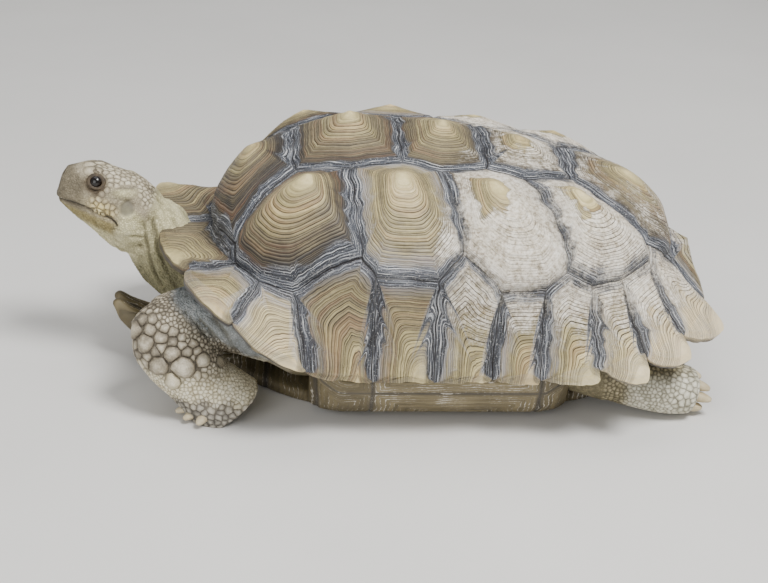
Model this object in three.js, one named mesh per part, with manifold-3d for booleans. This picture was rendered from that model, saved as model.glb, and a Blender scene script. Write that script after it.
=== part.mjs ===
// An adult sulcata tortoise (African spurred tortoise) resting on its belly, its head raised.
// Millimetres. +Z is up, the head points along -X and the animal's left side along -Y.
// X = 0 is the middle of the carapace, Y = 0 the mid-plane, and Z = 0 the ground under the plastron.
import * as THREE from "three";
import { mergeVertices } from "three/addons/utils/BufferGeometryUtils.js";
import Module from "manifold-3d";

const wasm = await Module();
wasm.setup();

// ---------------------------------------------------------------- driving dimensions

const GAP = 0.3; // kept between pieces that touch
const CRUMB = 1000; // cubic millimetres: what a cut leaves under this size is dropped
const LEFT = -1;
const RIGHT = 1;
const SIDES = [["left", LEFT], ["right", RIGHT]];

// The carapace is a dome over a superellipse plan with a skirt of marginal plates below it.
const SHELL = {
  centreX: -39, // the plan's widest station
  front: 183,
  rear: 258,
  half: 171,
  frontPower: 2.45,
  rearPower: 2.65,
  top: 236,
  topSlope: -0.056,
  roundPlan: 0.96,
  roundHeight: 0.98,
  skirtTop: { side: 152, front: 147, rear: 142 },
  skirtLength: { side: 90, front: 38, rear: 65 },
  skirtSlope: { side: 86, front: 4, rear: 50 }, // degrees below level
  skirtCurl: 7,
  wall: 7,
  seamWidth: 0.06, // share of a plate that slopes down into its seam
  plateStep: 1.8,
};

// Corners where three plates meet, as [X from the widest station, distance from the mid-plane],
// on the plan that the dome is flattened to.
const DOME_CORNERS = {
  v1v2: [-70.1, 40],
  c1c2: [-33.6, 47],
  v2v3: [-3.0, 38],
  c2c3: [20.1, 47],
  v3v4: [46.9, 38],
  c3c4: [73, 44],
  v4v5: [104, 30],
};

// Corners along the marginal plates, as [angle round the plan from the front, share of the plan].
const RING_CORNERS = {
  nape: [0, 1.0],
  m0: [32, 0.89],
  m1: [33.7, 1.01],
  m2: [47.9, 1.07],
  m3: [60.3, 1.07],
  peak12: [79.1, 0.8],
  m4: [83.2, 0.93],
  m5: [92.3, 0.94],
  peak23: [96.3, 0.77],
  m6: [102.3, 1.02],
  m7: [111.6, 1.01],
  peak34: [116.8, 0.9],
  m8: [123.7, 1.0],
  m9: [133.8, 0.99],
  m10: [146.7, 0.92],
  rump: [150.2, 0.82],
  m11: [164.7, 1.08],
  tailTop: [180, 1.06],
};

const RIM = 1.5; // share of the plan at the free edge, before the lobes
const RIM_SEAMS = [0, 27.5, 49, 67, 82.8, 92.3, 101.2, 110.5, 123, 134.4, 147.6, 168];
// Each marginal plate's lobe past the rim: its reach, where along the plate it peaks, and how
// gradually it rises to that peak.
const LOBES = [
  [13, 0.25, 0.5], [10, 0.3, 0.5], [4, 0.5, 0.6], [2, 0.8, 0.8], [1, 0.9, 0.8], [2, 0.9, 0.8],
  [5, 0.9, 0.9], [12, 0.92, 0.9], [23, 0.85, 0.9], [23, 0.8, 0.5], [28, 0.8, 0.8], [0, 0.5, 0.5],
];
const RIGHT_NAPE_LOBE = [30, 0.7, 0.6]; // the right front plate reaches further out
const RIGHT_NAPE = { rise: 5, droop: 18 }; // it turns up beside the neck, and the next one droops
const LIFT_POWER = 1.5;
// Where the dome is flatter or fuller than its rule: [x, y, spread, height] on the flattened plan.
const DOME_SWELLS = [[-130, 56, 44, -15], [240, 12, 28, 9]];
const LOBE_STEPS = [0, 0.12, 0.3, 0.5, 0.7, 0.85, 0.95, 1];

// The raised middle of each large plate: [X, distance from the mid-plane, height].
const VERTEBRALS = [[-97.2, 0, 14], [-30.6, 0, 22], [20.4, 0, 16], [68.8, 0, 12], [159.1, 0, 12]];
const COSTALS = [[-62.4, 61.1, 11], [-5, 61.8, 9], [51.2, 61.2, 6], [108.1, 56.2, 8]];
const MARGINAL_PEAK = { along: 0.72, share: 1.46, height: 3 };
const TAIL_PLATE_PEAK = { share: 1.2, height: 15 };

const PLASTRON = {
  thick: 13,
  bridgeFront: -108,
  bridgeRear: 96,
  bridgeFoot: 104,
  seamDepth: 1.2,
  seamWidth: 1.6,
  crossSeams: [-168, -122, -72, 84, 146],
  midSeamY: -4,
};

// The skull's frame: the back of the head, turned nose up.
const HEAD = { at: [-280, 0, 158], pitch: 17 };
// Sections of the head from the snout back: [forward, top, bottom, half width].
const HEAD_SECTIONS = [
  [92, 7, -8, 7], [91, 12, -12, 12], [88, 17, -17.5, 15.5], [82, 21, -21, 18.5],
  [74, 25, -25.5, 21.5], [64, 27, -30, 25], [52, 27.5, -34.5, 29.5], [39, 27.5, -41, 33],
  [26, 26.5, -47, 35], [13, 23, -49, 34.5], [1, 17, -48, 31.5], [-9, 9, -42, 26], [-15, -2, -30, 14],
];
const EYE = { forward: 59, across: 16.5, up: 18.2, radius: 8 };
const LID = { across: 18.8, radius: 6.8, tube: 2 };
const NOSTRIL = { forward: 91.5, across: 5, up: 10, radius: 1.8 };
const EAR = { forward: 25, across: 38, up: 4, radius: 9.5, depth: 4.6 };
// The line of the mouth from the beak back to its corner and down behind the chin.
const MOUTH = [
  [100, -14], [90, -13.5], [84, -11.5], [76, -9.3], [64, -8], [50, -8.4], [38, -8], [32, -10],
  [27, -17], [22, -40], [18, -70],
];

// The groove between the lips, which ends at this point of the mouth's line.
const LIPS = { corner: 8, wide: 1.6, deep: 1.8 };

// ---------------------------------------------------------------- small helpers

const { clamp, degToRad, lerp } = THREE.MathUtils;
const vec = (x, y, z) => new THREE.Vector3(x, y, z);

function smooth(t) {
  const c = clamp(t, 0, 1);
  return c * c * (3 - 2 * c);
}

const signedPower = (v, power) => Math.sign(v) * Math.abs(v) ** power;

// A body's surface as rings of equal count, closed with a fan at both ends. Rings run
// anticlockwise seen against their direction of travel.
function ringSkin(rings) {
  const points = rings.flat();
  const count = rings[0].length;
  const faces = [];
  for (let k = 0; k + 1 < rings.length; k += 1) {
    for (let j = 0; j < count; j += 1) {
      const a = k * count + j;
      const b = k * count + ((j + 1) % count);
      faces.push(a, b, a + count, b, b + count, a + count);
    }
  }
  const mean = (ring) => ring.reduce((sum, p) => sum.add(p), vec(0, 0, 0)).divideScalar(count);
  const first = points.push(mean(rings[0])) - 1;
  const last = points.push(mean(rings[rings.length - 1])) - 1;
  const end = (rings.length - 1) * count;
  for (let j = 0; j < count; j += 1) {
    const next = (j + 1) % count;
    faces.push(first, next, j, last, end + j, end + next);
  }
  const geometry = new THREE.BufferGeometry().setFromPoints(points);
  geometry.setIndex(faces);
  return geometry;
}

// A value between entries of a list of number rows, on a smooth curve through them.
function rowAt(rows, t) {
  const i = clamp(Math.floor(t), 0, rows.length - 2);
  const s = t - i;
  const row = (k) => rows[clamp(k, 0, rows.length - 1)];
  return rows[i].map((_, c) => {
    const [p0, p1, p2, p3] = [row(i - 1)[c], row(i)[c], row(i + 1)[c], row(i + 2)[c]];
    const m1 = (p2 - p0) / 2;
    const m2 = (p3 - p1) / 2;
    const s2 = s * s;
    const s3 = s2 * s;
    return (2 * s3 - 3 * s2 + 1) * p1 + (s3 - 2 * s2 + s) * m1 + (3 * s2 - 2 * s3) * p2 + (s3 - s2) * m2;
  });
}

// The centre, the across and up directions and the half sizes of a loft's section at t.
// A section row is [x, y, z, half width, half height].
function sectionAt(rows, t, across) {
  const [x, y, z, wide, high] = rowAt(rows, t);
  const step = 0.02;
  const before = rowAt(rows, Math.max(t - step, 0));
  const after = rowAt(rows, Math.min(t + step, rows.length - 1));
  const along = vec(after[0] - before[0], after[1] - before[1], after[2] - before[2]).normalize();
  const side = across.clone().addScaledVector(along, -across.dot(along)).normalize();
  const up = along.clone().cross(side);
  return { at: vec(x, y, z), along, side, up, wide, high };
}

function sectionPoint(section, angle, power, scale = 1, shift = 0) {
  const side = section.wide * scale * signedPower(Math.cos(angle), 2 / power);
  const up = section.high * scale * signedPower(Math.sin(angle), 2 / power);
  return section.at.clone().addScaledVector(section.side, side).addScaledVector(section.up, up)
    .addScaledVector(section.along, shift);
}

// A rounded body of flesh along a row of sections.
function loft(rows, { across = [0, 1, 0], sides = 16, steps = 3, power = 2.3, domes = [0.5, 0.5] } = {}) {
  const hint = vec(...across);
  const ring = (section, scale, shift) => Array.from({ length: sides }, (_, j) =>
    sectionPoint(section, (j / sides) * 2 * Math.PI, power, scale, shift));
  const rings = [];
  const first = sectionAt(rows, 0, hint);
  const last = sectionAt(rows, rows.length - 1, hint);
  const bulge = (section, share) => share * Math.min(section.wide, section.high);
  for (const [scale, shift] of [[0.45, 0.89], [0.82, 0.57]]) {
    rings.push(ring(first, scale, -shift * bulge(first, domes[0])));
  }
  for (let k = 0; k <= (rows.length - 1) * steps; k += 1) {
    rings.push(ring(sectionAt(rows, k / steps, hint), 1, 0));
  }
  for (const [scale, shift] of [[0.82, 0.57], [0.45, 0.89]]) {
    rings.push(ring(last, scale, shift * bulge(last, domes[1])));
  }
  return ringSkin(rings);
}

// ---------------------------------------------------------------- solids

function solidOf(geometry) {
  const bare = geometry.clone();
  bare.deleteAttribute("normal");
  bare.deleteAttribute("uv");
  const merged = mergeVertices(bare, 1e-3);
  return new wasm.Manifold(new wasm.Mesh({
    numProp: 3,
    vertProperties: merged.attributes.position.array,
    triVerts: new Uint32Array(merged.index.array),
  }));
}

function geometryOf(solid) {
  const mesh = solid.getMesh();
  const positions = new Float32Array(mesh.numVert * 3);
  for (let i = 0; i < mesh.numVert; i += 1) {
    positions.set(mesh.vertProperties.slice(i * mesh.numProp, i * mesh.numProp + 3), i * 3);
  }
  const geometry = new THREE.BufferGeometry();
  geometry.setAttribute("position", new THREE.BufferAttribute(positions, 3));
  geometry.setIndex(Array.from(mesh.triVerts));
  return geometry;
}

const joined = (geometries) => geometries.map(solidOf).reduce((sum, solid) => sum.add(solid));
const largest = (solid) => solid.decompose().reduce((a, b) => (b.volume() > a.volume() ? b : a));

// A thin box that parts two pieces: its middle, the direction across the cut and its half size.
function partingSlab(at, normal, half, thick = GAP) {
  const box = new THREE.BoxGeometry(thick, 2 * half, 2 * half);
  box.applyQuaternion(new THREE.Quaternion().setFromUnitVectors(vec(1, 0, 0), vec(...normal).normalize()));
  box.translate(...at);
  return solidOf(box);
}

// The ground that the animal rests on, for cutting flats where it touches.
const ground = () => solidOf(new THREE.BoxGeometry(900, 600, 100).translate(0, 0, -50));

// How far the middle of a solid's box is from a place.
function boxReach(solid, place) {
  const { min, max } = solid.boundingBox();
  return new THREE.Box3(vec(...min), vec(...max)).getCenter(vec(0, 0, 0)).distanceTo(vec(...place));
}

// The separate pieces of a solid, the nearest to a place first. Crumbs are left out.
function piecesNear(solid, place) {
  const pieces = solid.decompose().filter((piece) => piece.volume() > CRUMB);
  return pieces.sort((a, b) => boxReach(a, place) - boxReach(b, place));
}

// Parts a solid with a cutter and returns the piece at the given place and the rest of it.
function split(solid, cutter, place) {
  const [piece, ...others] = piecesNear(solid.subtract(cutter), place);
  return [piece, others.reduce((a, b) => (b.volume() > a.volume() ? b : a))];
}

// ---------------------------------------------------------------- carapace

// A value round the shell at station c of the plan, from -1 at the front to 1 at the rear.
function around({ side, front, rear }, c) {
  const start = 0.25;
  const toFront = smooth((-c - start) / (1 - start));
  const toRear = smooth((c - start) / (1 - start));
  return side + (front - side) * toFront + (rear - side) * toRear;
}

// A point of the flattened shell at an angle round the plan and a share of it.
function ringPoint([angle, share], side) {
  const turn = Math.cos(degToRad(angle));
  const [reach, power] = turn > 0 ? [SHELL.front, SHELL.frontPower] : [SHELL.rear, SHELL.rearPower];
  const c = -Math.sign(turn) * Math.abs(turn) ** (2 / power);
  const y = share * SHELL.half * (1 - Math.abs(c) ** power) ** (1 / power);
  return new THREE.Vector2(share * reach * c, side * y);
}

// Wraps a point of the flattened shell on to the dome, or on to the skirt where its share passes 1.
function wrap(x, y) {
  const [reach, power] = x < 0 ? [SHELL.front, SHELL.frontPower] : [SHELL.rear, SHELL.rearPower];
  const along = Math.abs(x / reach);
  const over = Math.abs(y / SHELL.half);
  const share = Math.max((along ** power + over ** power) ** (1 / power), 1e-6);
  const edge = new THREE.Vector2(x, y).divideScalar(share);
  const c = edge.x / reach;
  const skirtTop = around(SHELL.skirtTop, c);
  const rise = Math.min(share, 1) * (Math.PI / 2);
  const plan = Math.sin(rise) ** SHELL.roundPlan;
  const px = edge.x * plan;
  const top = SHELL.top + SHELL.topSlope * px;
  const height = skirtTop + (top - skirtTop) * Math.cos(rise) ** SHELL.roundHeight;
  const away = new THREE.Vector2(
    signedPower(edge.x / reach, power - 1) / reach,
    signedPower(edge.y / SHELL.half, power - 1) / SHELL.half,
  ).normalize();
  const length = around(SHELL.skirtLength, c);
  const curl = degToRad(SHELL.skirtCurl);
  const start = degToRad(around(SHELL.skirtSlope, c)) + curl;
  const slope = start - (2 * curl * Math.max(share - 1, 0)) / (RIM - 1);
  const out = (length * (Math.sin(start) - Math.sin(slope))) / (2 * curl);
  const down = (length * (Math.cos(slope) - Math.cos(start))) / (2 * curl);
  const flare = smooth((share - 1) / (RIM - 1)) * napeFlare(edge);
  let swell = 0;
  for (const [sx, sy, spread, lift] of DOME_SWELLS) {
    swell += lift * Math.exp(-((x - sx) ** 2 + (y - sy) ** 2) / spread ** 2);
  }
  const up = height - down + flare + swell;
  return vec(SHELL.centreX + px + away.x * out, edge.y * plan + away.y * out, up);
}

// How far the free edge is bent up or down at a point of the plan's edge, on the right in front.
function napeFlare(edge) {
  if (edge.x > 0 || edge.y < 0) return 0;
  const across = edge.y / SHELL.half;
  const rise = smooth(across / 0.3) * smooth((0.5 - across) / 0.2);
  const droop = smooth((across - 0.4) / 0.25) * smooth((1 - across) / 0.2);
  return RIGHT_NAPE.rise * rise - RIGHT_NAPE.droop * droop;
}

// The same point lifted off the shell's surface.
function shellPoint(flat, lift) {
  const step = 0.5;
  const alongX = wrap(flat.x + step, flat.y).sub(wrap(flat.x - step, flat.y));
  const alongY = wrap(flat.x, flat.y + step).sub(wrap(flat.x, flat.y - step));
  return wrap(flat.x, flat.y).addScaledVector(alongX.cross(alongY).normalize(), lift);
}

function corner(name, side) {
  if (name in DOME_CORNERS) {
    const [x, y] = DOME_CORNERS[name];
    return new THREE.Vector2(x, side * y);
  }
  return ringPoint(RING_CORNERS[name], side);
}

// Points from one corner of a plate to the next, the last one left out.
function straight(a, b, spacing = 30) {
  const count = Math.max(1, Math.round(a.distanceTo(b) / spacing));
  return Array.from({ length: count }, (_, i) => a.clone().lerp(b, i / count));
}

// The free edge of marginal plate i, a lobe between two seams. Side 0 is the plate over the tail.
function freeEdge(i, side, grow) {
  const [reach, peak, power] = i === 0 && side === RIGHT ? RIGHT_NAPE_LOBE : LOBES[i];
  const [from, to] = side === 0 ? [RIM_SEAMS[11], 360 - RIM_SEAMS[11]] : [RIM_SEAMS[i], RIM_SEAMS[i + 1]];
  return LOBE_STEPS.map((t) => {
    const angle = lerp(from, to, t);
    const rising = Math.sin((Math.PI / 2) * Math.min(t / peak, 1)) ** power;
    const falling = Math.sqrt(1 - (Math.max(t - peak, 0) / (1 - peak)) ** 2);
    const lobe = reach * rising * falling + grow;
    const [folded, hand] = angle > 180 ? [360 - angle, RIGHT] : [angle, side || LEFT];
    const { x } = ringPoint([folded, 1], hand);
    const c = x / (x < 0 ? SHELL.front : SHELL.rear);
    const share = RIM + (lobe * (RIM - 1)) / around(SHELL.skirtLength, c);
    return ringPoint([folded, share], hand);
  });
}

// A plate: its border on the flattened shell, anticlockwise from above, which of its border
// points lie on the free edge, its highest point and the height there.
function plateOf(corners, peak, height) {
  const border = corners.flatMap((a, i) => straight(a, corners[(i + 1) % corners.length]));
  return { border, free: border.map(() => false), peak: new THREE.Vector2(...peak), height };
}

function marginalOf(top, i, side, grow) {
  const edge = freeEdge(i, side, grow);
  const down = straight(top[top.length - 1], edge[edge.length - 1]);
  const up = straight(edge[0], top[0]);
  const across = top.slice(0, -1).flatMap((a, k) => straight(a, top[k + 1]));
  const border = [...across, ...down, ...edge.slice(1).reverse(), ...up];
  const freeStart = across.length + down.length;
  const free = border.map((_, k) => k >= freeStart && k <= freeStart + edge.length - 1);
  const middle = side === 0 ? 180 : lerp(RIM_SEAMS[i], RIM_SEAMS[i + 1], MARGINAL_PEAK.along);
  const { share, height } = side === 0 ? TAIL_PLATE_PEAK : MARGINAL_PEAK;
  return { border, free, peak: ringPoint([middle, share], side || LEFT), height };
}

// Puts a border anticlockwise, so that its plate faces out.
function anticlockwise(plate) {
  const { border, free } = plate;
  const area = border.reduce((sum, p, k) => sum + p.cross(border[(k + 1) % border.length]), 0);
  if (area > 0) return plate;
  return { ...plate, border: [...border].reverse(), free: [...free].reverse() };
}

const BACK_SEAMS = ["v1v2", "v2v3", "v3v4", "v4v5"];
const FLANK_SEAMS = ["c1c2", "c2c3", "c3c4"];
const COSTAL_RINGS = [
  ["m0", "m1", "m2", "m3", "peak12"],
  ["peak12", "m4", "m5", "peak23"],
  ["peak23", "m6", "m7", "peak34"],
  ["peak34", "m8", "m9", "m10", "rump"],
];
const MARGINAL_TOPS = [
  ["nape", "m0", "m1"], ["m1", "m2"], ["m2", "m3"], ["m3", "peak12", "m4"], ["m4", "m5"],
  ["m5", "peak23", "m6"], ["m6", "m7"], ["m7", "peak34", "m8"], ["m8", "m9"], ["m9", "m10"],
  ["m10", "rump", "m11"],
];

function carapacePlates(grow) {
  const plates = [];
  const both = (names) => [
    ...names.map((name) => corner(name, LEFT)),
    ...[...names].reverse().map((name) => corner(name, RIGHT)),
  ];
  const backs = [
    [corner("nape", LEFT), ...both(["m0", "v1v2"])],
    both(["v1v2", "c1c2", "v2v3"]),
    both(["v2v3", "c2c3", "v3v4"]),
    both(["v3v4", "c3c4", "v4v5"]),
    [...["v4v5", "rump", "m11"].map((name) => corner(name, LEFT)), corner("tailTop", LEFT),
      ...["m11", "rump", "v4v5"].map((name) => corner(name, RIGHT))],
  ];
  backs.forEach((corners, i) => {
    const [x, y, height] = VERTEBRALS[i];
    plates.push(plateOf(corners, [x, y], height));
  });
  for (const side of [LEFT, RIGHT]) {
    COSTAL_RINGS.forEach((names, i) => {
      const upper = [FLANK_SEAMS[i], BACK_SEAMS[i], FLANK_SEAMS[i - 1]].filter(Boolean);
      const [x, y, height] = COSTALS[i];
      const corners = [...names, ...upper].map((name) => corner(name, side));
      plates.push(plateOf(corners, [x, side * y], height));
    });
    MARGINAL_TOPS.forEach((names, i) => {
      plates.push(marginalOf(names.map((name) => corner(name, side)), i, side, grow));
    });
  }
  const tail = [corner("m11", LEFT), corner("tailTop", LEFT), corner("m11", RIGHT)];
  plates.push(marginalOf(tail, 11, 0, grow));
  return plates.map(anticlockwise);
}

// The height of a plate's face over the shell at a share r of the way from its peak to its border.
const plateLift = (height, r) => SHELL.plateStep + height * (1 - r) ** LIFT_POWER;

// The closed carapace. With grow it is that much thicker all over, for cutting its neighbours.
function carapace(grow = 0) {
  const triangles = [];
  const put = (...points) => points.forEach((p) => triangles.push(p.x, p.y, p.z));
  for (const { border, free, peak, height } of carapacePlates(grow)) {
    const marginal = free.some(Boolean);
    const shares = marginal ? [1 - SHELL.seamWidth * 1.5, 0.55] : [1 - SHELL.seamWidth, 0.7, 0.35];
    const outer = (p, lift) => shellPoint(p, lift + grow);
    const rings = [
      border.map((p) => outer(p, 0)),
      ...shares.map((r) => border.map((p) => outer(peak.clone().lerp(p, r), plateLift(height, r)))),
    ];
    const top = outer(peak, plateLift(height, 0));
    const under = border.map((p) => shellPoint(p, -SHELL.wall - grow));
    const middle = border.reduce((sum, p) => sum.add(p), new THREE.Vector2()).divideScalar(border.length);
    const underMiddle = shellPoint(middle, -SHELL.wall - grow);
    border.forEach((_, j) => {
      const next = (j + 1) % border.length;
      for (let k = 0; k + 1 < rings.length; k += 1) {
        put(rings[k][j], rings[k][next], rings[k + 1][j]);
        put(rings[k][next], rings[k + 1][next], rings[k + 1][j]);
      }
      put(rings[rings.length - 1][j], rings[rings.length - 1][next], top);
      put(under[next], under[j], underMiddle);
      if (free[j] && free[next]) {
        put(rings[0][next], rings[0][j], under[j]);
        put(rings[0][next], under[j], under[next]);
      }
    });
  }
  const geometry = new THREE.BufferGeometry();
  geometry.setAttribute("position", new THREE.BufferAttribute(new Float32Array(triangles), 3));
  return geometry;
}

// ---------------------------------------------------------------- plastron

function plastronPlan() {
  const half = [
    [-206, 34], [-190, 56], [-150, 90], [-118, 106], [-60, 116], [50, 116], [106, 104],
    [142, 92], [180, 66], [204, 38],
  ];
  const shape = new THREE.Shape();
  shape.moveTo(-206, 0);
  shape.lineTo(...half[0]);
  shape.splineThru(half.slice(1).map(([x, y]) => new THREE.Vector2(x, y)));
  shape.lineTo(178, 0);
  shape.lineTo(half[half.length - 1][0], -half[half.length - 1][1]);
  shape.splineThru([...half].reverse().slice(1).map(([x, y]) => new THREE.Vector2(x, -y)));
  shape.closePath();
  return shape;
}

// Moves an anticlockwise loop of [y, z] points outward.
function offsetLoop(loop, distance) {
  return loop.map(([y, z], i) => {
    const [y0, z0] = loop[(i + loop.length - 1) % loop.length];
    const [y1, z1] = loop[(i + 1) % loop.length];
    const length = Math.hypot(y1 - y0, z1 - z0);
    return [y + ((z1 - z0) / length) * distance, z - ((y1 - y0) / length) * distance];
  });
}

// The side wall that rises from the flat of the plastron to the marginal plates. Both its ends
// draw in towards the plate where the legs come out.
function bridge(side, grow) {
  const profile = offsetLoop([
    [98, 4.5], [122, 5.5], [137, 9], [155, 25], [169, 50], [176, 66],
    [168, 74], [146, 48], [124, 28], [98, 9],
  ], 2 * grow); // doubled, as the taper thins it
  const { bridgeFront, bridgeRear } = PLASTRON;
  const end = 0.45 - 0.035 * grow;
  const stations = [
    [bridgeFront - 21 - grow, end], [bridgeFront - 11, 0.8], [bridgeFront + 7, 1], [0, 1],
    [bridgeRear - 7, 1], [bridgeRear + 11, 0.8], [bridgeRear + 21 + grow, end],
  ];
  const rings = stations.map(([x, share]) => profile.map(([y, z]) =>
    vec(x, side * lerp(PLASTRON.bridgeFoot, y, y > PLASTRON.bridgeFoot ? share : 1), z)));
  return ringSkin(side === RIGHT ? rings : rings.map((ring) => [...ring].reverse()));
}

// One prong of the forked gular plates, which reach out under the chin.
function gularHorn(side, grow) {
  const rows = [
    [-170, side * 26, 9, 26, 8], [-215, side * 22, 14, 22, 10], [-258, side * 17, 24, 18, 12],
    [-290, side * 12, 37, 14, 13], [-308, side * 9, 50, 10, 10], [-318, side * 8, 63, 6, 5],
  ];
  const grown = rows.map(([x, y, z, wide, high]) => [x, y, z, wide + grow, high + grow]);
  return loft(grown, { sides: 8, steps: 1, power: 3, domes: [0.3, 0.5] });
}

// The plates of the belly in one solid. With grow it is thicker all over, for cutting its neighbours.
function plastronBlank(grow) {
  const edge = 3;
  const floorPlate = new THREE.ExtrudeGeometry(plastronPlan(), {
    depth: PLASTRON.thick - 2 * edge, bevelThickness: edge + grow, bevelSize: edge + grow, bevelSegments: 1,
    curveSegments: 2,
  }).translate(0, 0, edge);
  return joined([
    floorPlate, ...[LEFT, RIGHT].flatMap((side) => [bridge(side, grow), gularHorn(side, grow)]),
  ]);
}

function plastron(carapaceCut) {
  const groove = (x, y, length, width) => solidOf(
    new THREE.BoxGeometry(length, width, 2 * PLASTRON.seamDepth).translate(x, y, 0),
  );
  let solid = plastronBlank(0).subtract(groove(-10, PLASTRON.midSeamY, 420, PLASTRON.seamWidth));
  for (const x of PLASTRON.crossSeams) solid = solid.subtract(groove(x, 0, PLASTRON.seamWidth, 250));
  return largest(solid.subtract(carapaceCut));
}

// ---------------------------------------------------------------- head

const headTurn = new THREE.Matrix4().makeBasis(
  vec(-Math.cos(degToRad(HEAD.pitch)), 0, Math.sin(degToRad(HEAD.pitch))),
  vec(0, -1, 0),
  vec(Math.sin(degToRad(HEAD.pitch)), 0, Math.cos(degToRad(HEAD.pitch))),
).setPosition(...HEAD.at);

// Gentle swellings of the head: [forward, across, up, spread, height].
const HEAD_SWELLINGS = [
  [60, 17, 27, 9, 2.6], [72, 14, 22, 7, 1.2], [28, 31, 14, 11, 2], [24, 34, -16, 10, 2],
  [88, 6, 12, 5, 1.5], [40, 31, -14, 9, 1.5],
];

// The head's surface, or the same drawn in by a depth.
function headSkin(inset = 0) {
  const sides = 22;
  const steps = 2;
  const rings = [];
  for (let k = 0; k <= (HEAD_SECTIONS.length - 1) * steps; k += 1) {
    const [snout, crown, chin, cheek] = rowAt(HEAD_SECTIONS, k / steps);
    const [forward, top, bottom, half] = [snout - inset, crown - inset, chin + inset, cheek - inset];
    const middle = (top + bottom) / 2;
    const high = (top - bottom) / 2;
    rings.push(Array.from({ length: sides }, (_, j) => {
      const angle = -(j / sides) * 2 * Math.PI;
      const up = signedPower(Math.sin(angle), 2 / 2.35);
      const taper = up < 0 ? 1 - 0.22 * up * up : 1 - 0.06 * up * up;
      const point = vec(forward, half * taper * signedPower(Math.cos(angle), 2 / 2.35), middle + high * up);
      const away = vec(0, point.y / half, (point.z - middle) / high).normalize();
      let swell = 0;
      for (const [f, across, u, spread, height] of HEAD_SWELLINGS) {
        const gap = point.distanceTo(vec(f, Math.sign(point.y || 1) * across, u));
        swell += height * Math.exp(-((gap / spread) ** 2));
      }
      return point.addScaledVector(away, swell);
    }));
  }
  return ringSkin(rings).applyMatrix4(headTurn);
}

const headPlace = (forward, across, up, side) => vec(forward, -side * across, up).applyMatrix4(headTurn);

function eyelid(side) {
  const lid = new THREE.TorusGeometry(LID.radius, LID.tube, 5, 14);
  lid.scale(1, 0.84, 1);
  lid.rotateX(Math.PI / 2);
  lid.rotateX(side * 0.25);
  lid.rotateZ(side * -0.18);
  const [forward, up] = [EYE.forward, EYE.up];
  return lid.translate(forward, -side * LID.across, up + 0.6).applyMatrix4(headTurn);
}

function ball(radius, place, across = 12, round = 7) {
  return new THREE.SphereGeometry(radius, across, round).translate(place.x, place.y, place.z);
}

const eyeball = (side, grow = 0) =>
  ball(EYE.radius + grow, headPlace(EYE.forward, EYE.across, EYE.up, side));

// The shallow disc of the ear behind the corner of the mouth.
function eardrum(side) {
  const disc = new THREE.SphereGeometry(EAR.radius, 12, 6).scale(1, EAR.depth / EAR.radius, 1);
  disc.rotateZ(side * 0.06);
  return disc.translate(EAR.forward, -side * EAR.across, EAR.up).applyMatrix4(headTurn);
}

// A sheet across the head along a line of [forward, up], which parts the lower jaw from the head.
function mouthSheet(line, thick) {
  const outline = [];
  const back = [];
  line.forEach(([x, z], i) => {
    const [x0, z0] = line[Math.max(i - 1, 0)];
    const [x1, z1] = line[Math.min(i + 1, line.length - 1)];
    const length = Math.hypot(x1 - x0, z1 - z0);
    const [nx, nz] = [(-(z1 - z0) / length) * (thick / 2), ((x1 - x0) / length) * (thick / 2)];
    outline.push(new THREE.Vector2(x + nx, z + nz));
    back.unshift(new THREE.Vector2(x - nx, z - nz));
  });
  const sheet = new THREE.ExtrudeGeometry(new THREE.Shape([...outline, ...back]), {
    depth: 120, bevelEnabled: false,
  });
  return sheet.translate(0, 0, -60).rotateX(Math.PI / 2).applyMatrix4(headTurn);
}

// The groove between the lips, as deep as the head drawn in leaves it.
const lipGroove = () => solidOf(mouthSheet(MOUTH.slice(0, LIPS.corner), LIPS.wide))
  .subtract(solidOf(headSkin(LIPS.deep)));

// ---------------------------------------------------------------- limbs

const mirrored = (rows, side) => rows.map(([x, y, ...rest]) => [x, y * side, ...rest]);

// Distances from the mid-plane are positive here and are turned to the limb's own side.
const UPPER_ARM = [
  [-168, 80, 76, 40, 36], [-205, 90, 86, 34, 31], [-238, 99, 92, 29, 25], [-262, 107, 90, 25, 22],
];
const FOREARM = [
  [-269, 107, 93, 27, 20], [-259, 113, 77, 37, 25], [-246, 118, 56, 36, 27], [-231, 121, 35, 30, 28],
  [-215, 121, 17, 33, 31], [-207, 120, 6, 38, 33],
];
const FOREARM_ACROSS = [-0.85, 0, -0.5];
const THIGH = [[96, 78, 62, 42, 38], [130, 96, 50, 38, 34], [162, 108, 40, 31, 30]];
const SHANK = [
  [150, 104, 42, 30, 28], [185, 114, 34, 26, 27], [212, 118, 28, 26, 25], [234, 119, 24, 23, 21],
];
const TAIL = [[176, 0, 60, 26, 24], [208, 3, 50, 20, 18], [236, 10, 40, 13, 12], [258, 19, 32, 7, 7]];

// Where the large scales of the forearm sit: [along, angle round it, radius, height].
const FOREARM_SCALES = [
  [0.2, -10, 11, 3.5], [0.85, -12, 12, 4], [1.6, -12, 13, 4.5], [2.4, -14, 13, 5], [3.05, -34, 12, 5],
  [0.5, -42, 9, 2.5], [1.15, -44, 10, 3], [1.85, -46, 11, 3.5], [2.6, -66, 12, 4.5],
  [1.1, -78, 9, 2], [2.6, -102, 9, 4], [2.65, -132, 8, 3.5],
  [0.5, 24, 10, 2.5], [1.2, 22, 12, 3.5], [2.0, 20, 12, 4], [2.8, 16, 11, 4], [1.6, 56, 10, 2.5],
];

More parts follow.
